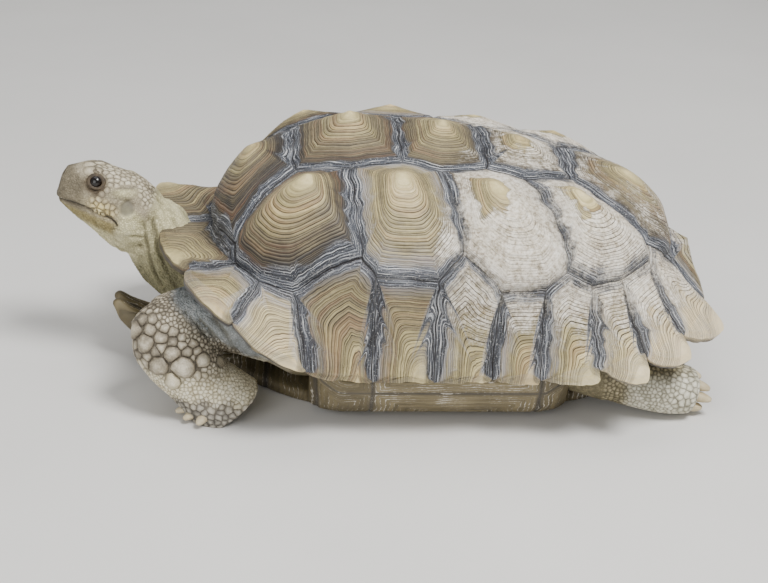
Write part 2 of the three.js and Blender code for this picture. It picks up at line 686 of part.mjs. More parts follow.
// A low domed scale with its root sunk in the skin.
function domedScale(at, out, radius, height) {
  const turn = new THREE.Quaternion().setFromUnitVectors(vec(0, 0, 1), out);
  const levels = [[0.95, -4], [0.85, height * 0.7]];
  const sides = 5;
  const rings = levels.map(([share, lift]) => Array.from({ length: sides }, (_, j) => {
    const angle = (j / sides) * 2 * Math.PI;
    return vec(Math.cos(angle) * radius * share, Math.sin(angle) * radius * share, lift)
      .applyQuaternion(turn).add(at);
  }));
  const skin = ringSkin(rings);
  const crown = skin.attributes.position.count - 1;
  const top = at.clone().addScaledVector(out, height);
  skin.attributes.position.setXYZ(crown, top.x, top.y, top.z);
  return skin;
}

function forearmScales(side) {
  const rows = mirrored(FOREARM, side);
  const hint = vec(...FOREARM_ACROSS);
  return FOREARM_SCALES.map(([along, degrees, radius, height]) => {
    const section = sectionAt(rows, along, hint);
    const angle = degToRad(-side * degrees);
    const at = sectionPoint(section, angle, 2.3);
    const round = sectionPoint(section, angle + 0.05, 2.3).sub(sectionPoint(section, angle - 0.05, 2.3));
    const down = sectionPoint(sectionAt(rows, along + 0.1, hint), angle, 2.3).sub(at);
    return domedScale(at, round.cross(down).normalize(), radius, height);
  });
}

const CLAW_HOOK = 0.0025; // how fast a claw bends down, per millimetre of its length
const CLAW_DEPTH = 0.8; // its depth as a share of its width

// A blunt claw: root, direction, length past the toe and half width.
function claw(at, toward, length, half, grow = 0) {
  const way = vec(...toward).normalize();
  const across = vec(way.y, -way.x, 0).normalize();
  const up = way.clone().cross(across);
  const sides = 6;
  const levels = [[-7 - grow, 0.85], [0, 1], [length * 0.55, 0.72], [length + grow, 0.25]];
  const rings = levels.map(([reach, share]) => {
    const middle = vec(...at).addScaledVector(way, reach);
    middle.z -= CLAW_HOOK * Math.max(reach, 0) ** 2;
    return Array.from({ length: sides }, (_, j) => {
      const angle = (j / sides) * 2 * Math.PI;
      const size = half * share + grow;
      return middle.clone().addScaledVector(across, size * Math.cos(angle))
        .addScaledVector(up, size * CLAW_DEPTH * Math.sin(angle));
    });
  });
  return ringSkin(rings);
}

function foreClaws(side) {
  const foot = vec(-211, side * 120, 8.5);
  return [-46, -22, 2, 25, 48].map((degrees, i) => {
    const angle = degToRad(192 + degrees);
    const way = [Math.cos(angle), side * -Math.sin(angle), -0.18];
    const reach = 31;
    const at = [foot.x + way[0] * reach, foot.y + way[1] * reach, foot.z];
    return { at, way, length: 13 - Math.abs(i - 2), half: 5.4 };
  });
}

// Roots of the hind claws and how far each one turns out.
const HIND_CLAWS = [[236, 110, 38, 0.1], [243, 120, 30, 0.3], [244, 125, 20, 0.35], [238, 124, 9.5, 0.3]];
const hindClaws = (side) => HIND_CLAWS.map(([x, y, z, out], i) => ({
  at: [x, side * y, z],
  way: [1, side * out, -0.22 + 0.1 * (i - 1)],
  length: i === 3 ? 11 : 13,
  half: 5.2,
}));

// The horny spurs on the back of each thigh.
const SPURS = [[176, 88, 44, 8, 18], [170, 84, 26, 7, 15], [184, 100, 52, 6, 12]];
const spurs = (side) => SPURS.map(([x, y, z, radius, length]) => {
  const rows = [[-10, 1], [length * 0.4, 0.62], [length, 0.16]].map(([reach, share]) =>
    [x + reach * 0.85, side * (y - reach * 0.25), z - reach * 0.3, radius * share, radius * share]);
  return loft(rows, { sides: 7, steps: 1, power: 2, domes: [0.1, 0.3] });
});

// The trunk fills the shell, a few millimetres inside its plates.
const TORSO = [
  [-190, 0, 92, 100, 80], [-165, 0, 99, 126, 93], [-118, 0, 112, 152, 105], [-40, 0, 116, 160, 106],
  [50, 0, 112, 157, 101], [107, 0, 108, 146, 92], [146, 0, 104, 126, 82], [178, 0, 98, 98, 70],
];
const NECK = [
  [-294, 0, 150, 28, 28], [-277, 0, 132, 30, 34], [-258, 0, 106, 36, 36], [-230, 0, 90, 48, 42],
  [-195, 0, 82, 56, 46], [-165, 0, 80, 58, 46],
];

// ---------------------------------------------------------------- assembly

const COLOURS = {
  shell: [0x9c8468, 0.62], plastron: [0xc9ad7c, 0.6], skin: [0xa8967c, 0.82], scaled: [0xa38f74, 0.78],
  eye: [0x17120e, 0.12], claw: [0xd8c7a4, 0.55],
};
const group = new THREE.Group();

function addNode(name, geometry, finish) {
  const [color, roughness] = COLOURS[finish];
  const mesh = new THREE.Mesh(geometry, new THREE.MeshStandardMaterial({ color, roughness, metalness: 0 }));
  mesh.name = name;
  group.add(mesh);
}

const carapaceCut = solidOf(carapace(GAP));
const plastronSolid = plastron(carapaceCut);
const claws = [];
for (const [name, side] of SIDES) {
  foreClaws(side).forEach((c, i) => claws.push({ ...c, name: `foreclaw_${name}_${i + 1}` }));
  hindClaws(side).forEach((c, i) => claws.push({ ...c, name: `hindclaw_${name}_${i + 1}` }));
}

const trunkBody = (grow) => solidOf(loft(
  TORSO.map(([x, y, z, wide, high]) => [x, y, z, wide + grow, high + grow]),
  { sides: 14, steps: 1, power: 2.6, domes: [0.2, 0.3] },
));
const fleshPieces = [
  loft(NECK, { sides: 16, steps: 2, domes: [0.2, 0.2] }),
  headSkin(),
  loft(TAIL, { sides: 10, steps: 2, domes: [0.2, 0.6] }),
];
for (const side of [LEFT, RIGHT]) {
  fleshPieces.push(
    eyelid(side),
    loft(mirrored(UPPER_ARM, side), { sides: 12, steps: 1, domes: [0.4, 0.7] }),
    loft(mirrored(FOREARM, side), { across: FOREARM_ACROSS, sides: 14, steps: 2, domes: [0.7, 0.1] }),
    ...forearmScales(side),
    loft(mirrored(THIGH, side), { sides: 12, steps: 1, domes: [0.4, 0.5] }),
    loft(mirrored(SHANK, side), { sides: 14, steps: 2, domes: [0.5, 0.4] }),
    ...spurs(side),
  );
}
const plastronCut = plastronBlank(GAP);
const trunk = largest(trunkBody(0).subtract(carapaceCut).subtract(plastronCut).subtract(ground()));
let flesh = joined(fleshPieces).subtract(trunkBody(2 * GAP));
flesh = flesh.subtract(carapaceCut).subtract(plastronCut).subtract(ground()).subtract(lipGroove());
for (const { at, way, length, half } of claws) {
  flesh = flesh.subtract(solidOf(claw(at, way, length, half, GAP)));
}
for (const side of [LEFT, RIGHT]) {
  flesh = flesh.subtract(solidOf(eyeball(side, GAP)));
  flesh = flesh.subtract(solidOf(eardrum(side)));
  const nostril = headPlace(NOSTRIL.forward, NOSTRIL.across, NOSTRIL.up, side);
  flesh = flesh.subtract(solidOf(ball(NOSTRIL.radius, nostril, 8, 6)));
}

addNode("carapace", carapace(), "shell");
addNode("plastron", geometryOf(plastronSolid), "plastron");

// Cuts the flesh at a plane and makes the piece on its far side a node.
function addCut(name, solid, at, normal, half, place, finish = "skin") {
  const [piece, rest] = split(solid, partingSlab(at, normal, half), place);
  addNode(name, geometryOf(piece), finish);
  return rest;
}

// The cut behind the skull leans forward over the neck.
const napeLean = degToRad(HEAD.pitch + 25);
const napeNormal = [-Math.cos(napeLean), 0, Math.sin(napeLean)];
let [front] = piecesNear(flesh, [-265, 0, 100]);
for (const [name, side] of SIDES) {
  let leg;
  [leg, front] = split(front, partingSlab([-250, side * 57, 90], [0, 1, 0], 120), [-245, side * 110, 60]);
  const sole = [-214, side * 120, 10];
  leg = addCut(`forefoot_${name}`, leg, [-216, side * 121, 25], [0.15, 0, -1], 60, sole, "scaled");
  const shoulder = [-220, side * 95, 90];
  leg = addCut(`upper_arm_${name}`, leg, [-247, side * 105, 86], [0.72, 0, 0.69], 120, shoulder);
  addNode(`forearm_${name}`, geometryOf(leg), "scaled");
}
front = addCut("neck", front, headPlace(8, 0, -12, LEFT).toArray(), napeNormal, 70, [-250, 0, 100]);
const [jaw, skull] = split(front, solidOf(mouthSheet(MOUTH, GAP)), headPlace(55, 0, -22, LEFT).toArray());
addNode("head", geometryOf(skull), "skin");
addNode("jaw", geometryOf(jaw), "skin");
for (const [name, side] of SIDES) {
  let [leg] = piecesNear(flesh, [190, side * 110, 40]);
  const heel = [225, side * 118, 24];
  leg = addCut(`hindfoot_${name}`, leg, [208, side * 117, 28], [1, 0, -0.2], 50, heel, "scaled");
  addNode(`hindleg_${name}`, geometryOf(leg), "skin");
}
addNode("tail", geometryOf(piecesNear(flesh, [225, 8, 44])[0]), "skin");
addNode("torso", geometryOf(trunk), "skin");

for (const [name, side] of SIDES) addNode(`eye_${name}`, eyeball(side), "eye");
for (const { name, at, way, length, half } of claws) addNode(name, claw(at, way, length, half), "claw");

export default group;
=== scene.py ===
"""A life-size sulcata tortoise at rest: shell plates, skin, scales, eyes, claws and its studio."""

import logging
import math
from dataclasses import dataclass, field, replace
from enum import Enum

import bmesh
import bpy
import numpy as np
from mathutils import Matrix, Vector
from mathutils.bvhtree import BVHTree
from mathutils.kdtree import KDTree


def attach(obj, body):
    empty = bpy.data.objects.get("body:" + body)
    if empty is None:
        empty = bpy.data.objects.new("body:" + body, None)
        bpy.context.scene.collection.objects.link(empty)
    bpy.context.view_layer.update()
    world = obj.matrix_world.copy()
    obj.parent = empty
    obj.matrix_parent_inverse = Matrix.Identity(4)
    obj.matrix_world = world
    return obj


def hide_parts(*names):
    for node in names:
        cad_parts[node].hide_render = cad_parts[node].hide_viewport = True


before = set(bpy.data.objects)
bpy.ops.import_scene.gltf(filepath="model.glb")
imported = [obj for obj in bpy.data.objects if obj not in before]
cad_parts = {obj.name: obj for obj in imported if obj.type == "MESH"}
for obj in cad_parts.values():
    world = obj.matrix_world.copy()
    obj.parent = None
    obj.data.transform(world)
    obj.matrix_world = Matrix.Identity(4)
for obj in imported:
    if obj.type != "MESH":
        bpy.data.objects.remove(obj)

LOG = logging.getLogger("tortoise")
MM = 0.001
BODY = "root"

Array = np.ndarray
Body = tuple[np.ndarray, list]
Object = bpy.types.Object
Material = bpy.types.Material
Tree = bpy.types.NodeTree
Node = bpy.types.Node
Colour = tuple[float, float, float]
Triple = tuple[float, float, float]


class Side(Enum):
    """The animal's own sides, as the sign of Y."""

    LEFT = -1
    RIGHT = 1

    @property
    def word(self) -> str:
        """The side as it stands in the names of pieces."""
        return self.name.lower()


# ------------------------------------------------------------------ numbers


def smooth(t: Array) -> Array:
    """Eases from 0 to 1 with a flat start and end, and holds what lies outside."""
    c = np.clip(t, 0.0, 1.0)
    return c * c * (3 - 2 * c)


def bell(away: Array, width: float = 1.0) -> Array:
    """1 in the middle, falling to nothing over about twice the width."""
    return np.exp(-((away / width) ** 2))


def signed_power(v: Array, power: float) -> Array:
    """Raises the size of each value to a power and keeps its sign."""
    return np.sign(v) * np.abs(v) ** power


def unit(v: Array) -> Array:
    """Scales vectors along the last axis to length 1."""
    return v / np.maximum(np.linalg.norm(v, axis=-1, keepdims=True), 1e-9)


def turns(count: int) -> Array:
    """Angles of even steps once round, in radians."""
    return np.arange(count) / count * 2 * np.pi


def to_path(points: Array, path: Array) -> Array:
    """Distance to a line that runs through corners.

    Args:
        points: coordinates along the last axis.
        path: the corners.

    Returns:
        One distance a point.
    """
    away = np.full(points.shape[:-1], 1e3)
    for a, b in zip(path[:-1], path[1:]):
        way = b - a
        t = np.clip(((points - a) @ way) / max(way @ way, 1e-6), 0, 1)
        away = np.minimum(away, np.linalg.norm(points - a - t[..., None] * way, axis=-1))
    return away


class Ripple:
    """Smooth seeded noise in two or three directions, as a sum of waves."""

    def __init__(self, seed: int, dims: int, waves: int = 9) -> None:
        """Draws the waves.

        Args:
            seed: seed of the generator.
            dims: number of coordinates.
            waves: number of waves summed.
        """
        rng = np.random.default_rng(seed)
        self.ways = rng.normal(size=(waves, dims)) * rng.uniform(0.6, 1.6, size=(waves, 1))
        self.phases = rng.uniform(0, 2 * np.pi, waves)

    def at(self, points: Array, size: float) -> Array:
        """The noise at points, about -1 to 1.

        Args:
            points: coordinates along the last axis.
            size: size of a feature, in the points' own unit.

        Returns:
            One value a point.
        """
        total = np.zeros(points.shape[:-1])
        for way, phase in zip(self.ways, self.phases):
            total += np.sin(points @ way * (2.2 / size) + phase)
        return total / math.sqrt(len(self.ways) * 1.2)


def ring_blur(values: Array, sigma: float) -> Array:
    """Blurs values round a closed loop.

    Args:
        values: rows round the loop.
        sigma: width of the blur, in rows.

    Returns:
        The blurred rows.
    """
    keep = np.exp(-2 * (np.pi * np.fft.fftfreq(len(values)) * sigma) ** 2)
    return np.real(np.fft.ifft(np.fft.fft(values, axis=0) * keep[:, None], axis=0))


# ------------------------------------------------------------------ meshes


def linked(name: str, data: object) -> Object:
    """Puts a new object in the scene.

    Args:
        name: its name.
        data: its mesh, light or camera.

    Returns:
        The object.
    """
    obj = bpy.data.objects.new(name, data)
    bpy.context.scene.collection.objects.link(obj)
    return obj


def mesh_object(name: str, verts: Array, faces: Array | list) -> Object:
    """Makes an object at the origin from points.

    Args:
        name: name of the piece.
        verts: points in millimetres.
        faces: rows of indices.

    Returns:
        The object, shaded smooth.
    """
    mesh = bpy.data.meshes.new(name)
    mesh.from_pydata((verts * MM).tolist(), [], faces.tolist() if isinstance(faces, Array) else faces)
    mesh.validate()
    mesh.polygons.foreach_set("use_smooth", [True] * len(mesh.polygons))
    mesh.update()
    return linked(name, mesh)


def settle(obj: Object, slot: str, *nodes: str, finish: Material | None = None) -> Object:
    """Dresses a piece, lets it ride on the body and hides the CAD nodes it stands for.

    Args:
        obj: the finished piece.
        slot: material slot of the record; not used.
        nodes: CAD nodes it replaces.
        finish: its material, where it has none yet.

    Returns:
        The same piece.
    """
    if finish:
        dress(obj, finish)
    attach(obj, BODY)
    if nodes:
        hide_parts(*nodes)
    return obj


def dress(obj: Object, finish: Material) -> None:
    """Gives an object one material."""
    obj.data.materials.clear()
    obj.data.materials.append(finish)


def put_values(obj: Object, name: str, values: Array) -> None:
    """Stores one number a vertex as a named attribute."""
    layer = obj.data.attributes.new(name, "FLOAT", "POINT")
    layer.data.foreach_set("value", np.ascontiguousarray(values, dtype=np.float32))


def numbers(items: object, key: str, width: int = 1, kind: type = float) -> Array:
    """Reads a property of many mesh items.

    Args:
        items: vertices, corners or an attribute's values.
        key: the property.
        width: numbers an item.
        kind: type of the numbers.

    Returns:
        The numbers, with one row an item where the width is over 1.
    """
    flat = np.empty(len(items) * width, kind)
    items.foreach_get(key, flat)
    return flat.reshape(-1, width) if width > 1 else flat


def points_of(obj: Object) -> Array:
    """An object's points in millimetres."""
    return numbers(obj.data.vertices, "co", 3) / MM


def move_points(obj: Object, points: Array) -> None:
    """Puts an object's points, given in millimetres."""
    obj.data.vertices.foreach_set("co", (points * MM).reshape(-1))
    obj.data.update()


def plain_copy(obj: Object) -> None:
    """Turns an object's modifiers into plain mesh.

    Args:
        obj: the object.
    """
    graph = bpy.context.evaluated_depsgraph_get()
    mesh = bpy.data.meshes.new_from_object(obj.evaluated_get(graph))
    obj.modifiers.clear()
    old, obj.data = obj.data, mesh
    bpy.data.meshes.remove(old)


def remeshed(obj: Object, voxel: float, rounds: int) -> None:
    """Wraps an object in one even, softened surface.

    Args:
        obj: the object.
        voxel: size of the new faces in millimetres.
        rounds: rounds of softening.
    """
    wrap = obj.modifiers.new("remesh", "REMESH")
    wrap.mode, wrap.voxel_size, wrap.use_smooth_shade = "VOXEL", voxel * MM, True
    soften = obj.modifiers.new("soften", "SMOOTH")
    soften.factor, soften.iterations = 0.5, rounds
    plain_copy(obj)


def grid_faces(rows: int, count: int) -> Array:
    """Quads between successive closed rings.

    Args:
        rows: number of rings.
        count: points in each.

    Returns:
        Rows of four indices.
    """
    k, j = np.meshgrid(np.arange(rows - 1), np.arange(count), indexing="ij")
    a, b = k * count + j, k * count + (j + 1) % count
    return np.stack([a, b, b + count, a + count], axis=-1).reshape(-1, 4)


def fan(middle: int, start: int, count: int, turned: bool = False) -> list[list[int]]:
    """Triangles from a point to a closed ring.

    Args:
        middle: index of the point.
        start: index of the ring's first point.
        count: points in the ring.
        turned: faces the other way.

    Returns:
        The triangles.
    """
    pairs = [(start + j, start + (j + 1) % count) for j in range(count)]
    return [[middle, b, a] if turned else [middle, a, b] for a, b in pairs]


def ring_body(rings: Array) -> Body:
    """A closed body with a fan at each end.

    Args:
        rings: points by ring and place round it.

    Returns:
        Its points and faces.
    """
    rows, count, _ = rings.shape
    verts = np.concatenate([rings.reshape(-1, 3), rings[:1].mean(1), rings[-1:].mean(1)])
    ends = zip(fan(rows * count, 0, count, True), fan(rows * count + 1, (rows - 1) * count, count))
    return verts, grid_faces(rows, count).tolist() + [face for pair in ends for face in pair]


def joined(bodies: list[Body]) -> Body:
    """Several closed bodies as one.

    Args:
        bodies: points and faces of each.

    Returns:
        The points and faces of all.
    """
    verts, faces, start = [], [], 0
    for points, rows in bodies:
        verts.append(points)
        faces.extend([[i + start for i in row] for row in rows])
        start += len(points)
    return np.concatenate(verts), faces


# ------------------------------------------------------------------ node helpers


class Value:
    """A value of a node tree that takes plain arithmetic."""

    def __init__(self, wires: "Wiring", socket: bpy.types.NodeSocket) -> None:
        """Keeps the socket and its wiring."""
        self.wires, self.socket = wires, socket

    def __mul__(self, other: object) -> "Value":
        """The product with a number or value."""
        return self.wires.math("MULTIPLY", self, other)

    def __sub__(self, other: object) -> "Value":
        """The value less another."""
        return self.wires.math("SUBTRACT", self, other)

    def __rsub__(self, other: object) -> "Value":
        """A number less the value."""
        return self.wires.math("SUBTRACT", other, self)

    def spread(self, low: float, high: float, to_low: float = 0.0, to_high: float = 1.0) -> "Value":
        """Maps a range smoothly on to another, and holds what lies outside."""
        made = self.wires.node("ShaderNodeMapRange", interpolation_type="SMOOTHSTEP")
        return self.wires.fed(made, (self, low, high, to_low, to_high))


class Wiring:
    """A node tree under construction, with short calls for the nodes used here."""

    def __init__(self, tree: Tree) -> None:
        """Keeps the tree."""
        self.tree = tree

    def node(self, kind: str, **settings: object) -> Node:
        """Adds a node.

        Args:
            kind: its type.
            settings: its properties.

        Returns:
            The node.
        """
        made = self.tree.nodes.new(kind)
        for key, value in settings.items():
            setattr(made, key, value)
        return made

    def feed(self, socket: bpy.types.NodeSocket, value: object) -> None:
        """Feeds a socket.

        Args:
            socket: the socket.
            value: what it is linked to or set to, or None to leave it.
        """
        if isinstance(value, Value):
            value = value.socket
        if isinstance(value, bpy.types.NodeSocket):
            self.tree.links.new(value, socket)
        elif value is not None:
            socket.default_value = value

    def fed(self, made: Node, values: tuple | dict, output: str | int = 0) -> Value:
        """Feeds a node's inputs and gives one output.

        Args:
            made: the node.
            values: values in the order of its inputs, or by their names or numbers.
            output: the output wanted.

        Returns:
            The output.
        """
        pairs = values.items() if isinstance(values, dict) else enumerate(values)
        for key, value in pairs:
            self.feed(made.inputs[key], value)
        return Value(self, made.outputs[output])

    def math(self, operation: str, *values: object) -> Value:
        """A math node's result."""
        return self.fed(self.node("ShaderNodeMath", operation=operation), values)

    def sum(self, start: float, *terms: tuple[object, float]) -> Value:
        """A weighted sum.

        Args:
            start: what it starts with.
            terms: values and their weights.

        Returns:
            The sum.
        """
        total: object = start
        for value, weight in terms:
            total = self.math("MULTIPLY_ADD", value, weight, total)
        return total

    def to_whole(self, phase: Value) -> Value:
        """How far a running number's fraction is from its nearest whole."""
        return self.math("MINIMUM", phase, 1 - phase)

    def mix(self, share: object, a: object, b: object) -> Value:
        """Mixes two colours."""
        return self.fed(self.node("ShaderNodeMix", data_type="RGBA"), {0: share, 6: a, 7: b}, 2)

    def tint(self, base: Value, share: Value, colour: Colour) -> Value:
        """Lays a screen colour over a base."""
        return self.mix(share, base, paint(*colour))

    def attribute(self, name: str) -> Value:
        """A named number stored on the mesh."""
        return self.fed(self.node("ShaderNodeAttribute", attribute_name=name), (), "Fac")

    def place(self) -> Value:
        """The point on the object, in metres."""
        return self.fed(self.node("ShaderNodeTexCoord"), (), "Object")

    def noise(self, where: object, scale: object, detail: float = 3.0, rough: float = 0.55) -> Value:
        """A noise texture's value."""
        inputs = {"Vector": where, "Scale": scale, "Detail": detail, "Roughness": rough}
        return self.fed(self.node("ShaderNodeTexNoise"), inputs, "Fac")

    def streaks(
        self, where: object, stretch: float, across: Value, rate: float, detail: float = 3.0,
    ) -> Value:
        """Noise drawn out along lines of equal number, as growth rings are.

        Args:
            where: the point.
            stretch: scale along the lines.
            across: the number that changes over the lines.
            rate: scale over the lines.
            detail: detail of the noise.

        Returns:
            The noise's value.
        """
        push = self.node("ShaderNodeVectorMath", operation="SCALE")
        drawn = self.fed(push, {0: where, "Scale": stretch})
        inputs = {"Vector": drawn, "W": across * rate, "Scale": 1.0, "Detail": detail}
        return self.fed(self.node("ShaderNodeTexNoise", noise_dimensions="4D"), inputs, "Fac")

    def toss(self, number: Value, shift: float = 0.0) -> Value:
        """A random value for each whole number."""
        made = self.node("ShaderNodeTexWhiteNoise", noise_dimensions="1D")
        return self.fed(made, {"W": self.math("ADD", self.math("FLOOR", number), shift)}, "Value")

    def cells(self, where: object, scale: object, feature: str) -> Value:
        """A Voronoi texture's distance."""
        made = self.node("ShaderNodeTexVoronoi", feature=feature)
        return self.fed(made, {"Vector": where, "Scale": scale}, "Distance")

    def group(self, tree: Tree, **values: object) -> dict[str, Value]:
        """Places a shared effect.

        Args:
            tree: the effect.
            values: its inputs by name.

        Returns:
            Its outputs by name.
        """
        made = self.node("ShaderNodeGroup", node_tree=tree)
        self.fed(made, values)
        return {socket.name: Value(self, socket) for socket in made.outputs}

    def ramp(self, value: Value, stops: tuple[tuple[float, Colour], ...]) -> Value:
        """A colour ramp.

        Args:
            value: position on the ramp.
            stops: places and screen colours.

        Returns:
            The colour.
        """
        made = self.node("ShaderNodeValToRGB")
        parts = made.color_ramp.elements
        for at, _ in stops[2:]:
            parts.new(at)
        for part, (at, colour) in zip(parts, stops):
            part.position, part.color = at, paint(*colour)
        return self.fed(made, (value,))


def paint(red: float, green: float, blue: float) -> tuple[float, float, float, float]:
    """A colour given as 0 to 255 on a screen, in the linear values that shaders use."""
    parts = [c / 255 for c in (red, green, blue)]
    return (*[c / 12.92 if c <= 0.04045 else ((c + 0.055) / 1.055) ** 2.4 for c in parts], 1.0)


class Kind(Enum):
    """Kinds of socket of a node group."""

    NUMBER = "NodeSocketFloat"
    WHOLE = "NodeSocketInt"
    VECTOR = "NodeSocketVector"
    COLOUR = "NodeSocketColor"
    GEOMETRY = "NodeSocketGeometry"


class Group(Wiring):
    """A new node group with named inputs and outputs."""

    def __init__(self, name: str, kind: str, inputs: dict[str, Kind], outputs: dict[str, Kind]) -> None:
        """Makes the group.

        Args:
            name: name of the group.
            kind: kind of tree.
            inputs: kinds of the inputs by name.
            outputs: kinds of the outputs by name.
        """
        super().__init__(bpy.data.node_groups.new(name, kind))
        for way, sockets in (("INPUT", inputs), ("OUTPUT", outputs)):
            for key, socket in sockets.items():
                self.tree.interface.new_socket(name=key, in_out=way, socket_type=socket.value)
        given = self.node("NodeGroupInput").outputs
        self.given = {key: Value(self, given[key]) for key in inputs}
        self.out = self.node("NodeGroupOutput")

    def closed(self, **values: Value) -> Tree:
        """Feeds the group's outputs.

        Args:
            values: the outputs by name.

        Returns:
            The finished tree.
        """
        for key, value in values.items():
            self.feed(self.out.inputs[key], value)
        return self.tree


class Surface(Wiring):
    """A new material, whose shader is fed at the end."""

    def __init__(self, name: str, roughness: float) -> None:
        """Makes the material.

        Args:
            name: name of the finish.
            roughness: roughness where nothing feeds it.
        """
        self.material = bpy.data.materials.new(name)
        self.material.use_nodes = True
        super().__init__(self.material.node_tree)
        self.tree.nodes.clear()
        self.shader = self.node("ShaderNodeBsdfPrincipled")
        self.feed(self.node("ShaderNodeOutputMaterial").inputs["Surface"], self.shader.outputs[0])
        self.feed(self.shader.inputs["Roughness"], roughness)

    def done(self, colour: Value, height: Value, depth: float, strength: float = 0.7) -> Material:
        """Feeds colour and relief to the shader.

        Args:
            colour: base colour.
            height: height of the relief, 0 to 1.
            depth: height of 1, in metres.
            strength: share of the relief.

        Returns:
            The material.
        """
        bump = self.node("ShaderNodeBump")
        raised = self.fed(bump, {"Strength": strength, "Distance": depth, "Height": height})
        self.feed(self.shader.inputs["Base Color"], colour)
        self.feed(self.shader.inputs["Normal"], raised)
        return self.material


# ------------------------------------------------------------------ shared effects


# Dark, middle and light tone of each region of the hide, later ones laid over earlier ones.
REGION_TONES = {
    "head": ((132, 122, 100), (176, 165, 140), (212, 203, 180)),
    "snout": ((84, 78, 62), (122, 112, 91), (158, 147, 122)),
    "cheek": ((150, 130, 76), (204, 184, 122), (228, 214, 160)),
    "jaw": ((116, 104, 66), (160, 146, 98), (196, 182, 132)),
    "neck": ((96, 92, 66), (132, 127, 93), (168, 161, 124)),
    "throat": ((172, 165, 124), (216, 208, 164), (236, 230, 198)),
    "lid": ((50, 40, 27), (80, 66, 46), (122, 104, 74)),
    "arm": ((92, 84, 70), (146, 136, 116), (200, 191, 170)),
    "shoulder": ((104, 108, 108), (150, 155, 155), (190, 192, 190)),
    "wrist": ((178, 166, 134), (224, 214, 184), (242, 236, 216)),
    "foot": ((92, 88, 80), (136, 130, 118), (182, 176, 162)),
    "heel": ((150, 145, 124), (202, 197, 176), (232, 228, 212)),
}
BODY_TONES = ((0.2, (92, 84, 62)), (0.45, (130, 121, 92)), (0.65, (164, 152, 118)), (0.9, (206, 194, 158)))
SOIL_TONES = ((0.34, (96, 86, 70)), (0.44, (182, 170, 150)), (0.52, (226, 217, 201)), (0.62, (250, 245, 235)))


class Effects:
    """The effects that several finishes share, each built once."""

    def __init__(self) -> None:
        """Builds the groups."""
        self.dust, self.grain, self.markings = self.make_dust(), self.make_grain(), self.make_markings()

    @staticmethod
    def make_dust() -> Tree:
        """Dry mud over a colour: granular, thin at its border, lying in the hollows.

        Returns:
            The group.
        """
        w = Group(
            "dry_mud", "ShaderNodeTree",
            {"Base": Kind.COLOUR, "Where": Kind.VECTOR, "Cover": Kind.NUMBER, "Hollow": Kind.NUMBER},
            {"Color": Kind.COLOUR, "Mask": Kind.NUMBER, "Rise": Kind.NUMBER})
        where, cover = w.given["Where"], w.given["Cover"]
        patch, grit = w.noise(where, 42.0, 5.0, 0.62), w.noise(where, 300.0, 4.0, 0.7)
        lumps = w.noise(where, 130.0, 5.0, 0.7)
        level = w.sum(-0.05, (cover, 1.0), (patch, 0.85), (grit, 0.5), (w.given["Hollow"], 0.3))
        mask = level.spread(0.95, 1.3) * cover.spread(0.02, 0.2)
        soil = w.ramp(w.sum(0.0, (grit, 0.5), (patch, 0.2), (lumps, 0.3)), SOIL_TONES)
        rise = mask * w.sum(0.2, (lumps, 1.1), (grit, 0.5))
        return w.closed(Color=w.mix(mask * 0.86, w.given["Base"], soil), Mask=mask, Rise=rise)

    @staticmethod
    def make_grain() -> Tree:
        """Fine grain of horn and hide, as a height.

        Returns:
            The group.
        """
        w = Group(
            "fine_grain", "ShaderNodeTree", {"Where": Kind.VECTOR, "Scale": Kind.NUMBER},
            {"Height": Kind.NUMBER})
        where, scale = w.given["Where"], w.given["Scale"]
        pits = w.cells(where, scale * 1.7, "F1")
        return w.closed(Height=w.sum(0.0, (w.noise(where, scale, 4.0, 0.5), 0.7), (pits, 0.4)))

    @staticmethod
    def make_markings() -> Tree:
        """The markings of skin and scales alike: a tone for each region, mottled.

        Returns:
            The group.
        """
        regions = {name.capitalize(): Kind.NUMBER for name in REGION_TONES}
        w = Group(
            "hide_markings", "ShaderNodeTree", {"Where": Kind.VECTOR, "Lift": Kind.NUMBER, **regions},
            {"Color": Kind.COLOUR})
        where = w.given["Where"]
        patch = w.sum(-0.32, (w.noise(where, 52.0, 4.0), 0.7), (w.noise(where, 260.0, 4.0, 0.65), 0.85),
                      (w.given["Lift"], 1.0))
        tone = w.ramp(patch, BODY_TONES)
        for name, tones in REGION_TONES.items():
            region = w.ramp(patch, tuple(zip((0.2, 0.5, 0.85), tones)))
            tone = w.mix(w.given[name.capitalize()], tone, region)
        return w.closed(Color=tone)

    def hide(self, w: Wiring, place: Value, lift: object) -> Value:
        """The hide's colour in a material, by the regions stored on the mesh.

        Args:
            w: the material's wiring.
            place: the point.
            lift: how much lighter it is.

        Returns:
            The colour.
        """
        regions = {name.capitalize(): w.attribute(name) for name in REGION_TONES}
        return w.group(self.markings, Where=place, Lift=lift, **regions)["Color"]

    def grained(self, w: Wiring, place: Value, scale: float) -> Value:
        """The grain's height in a material, at the given scale."""
        return w.group(self.grain, Where=place, Scale=scale)["Height"]


# ------------------------------------------------------------------ finishes


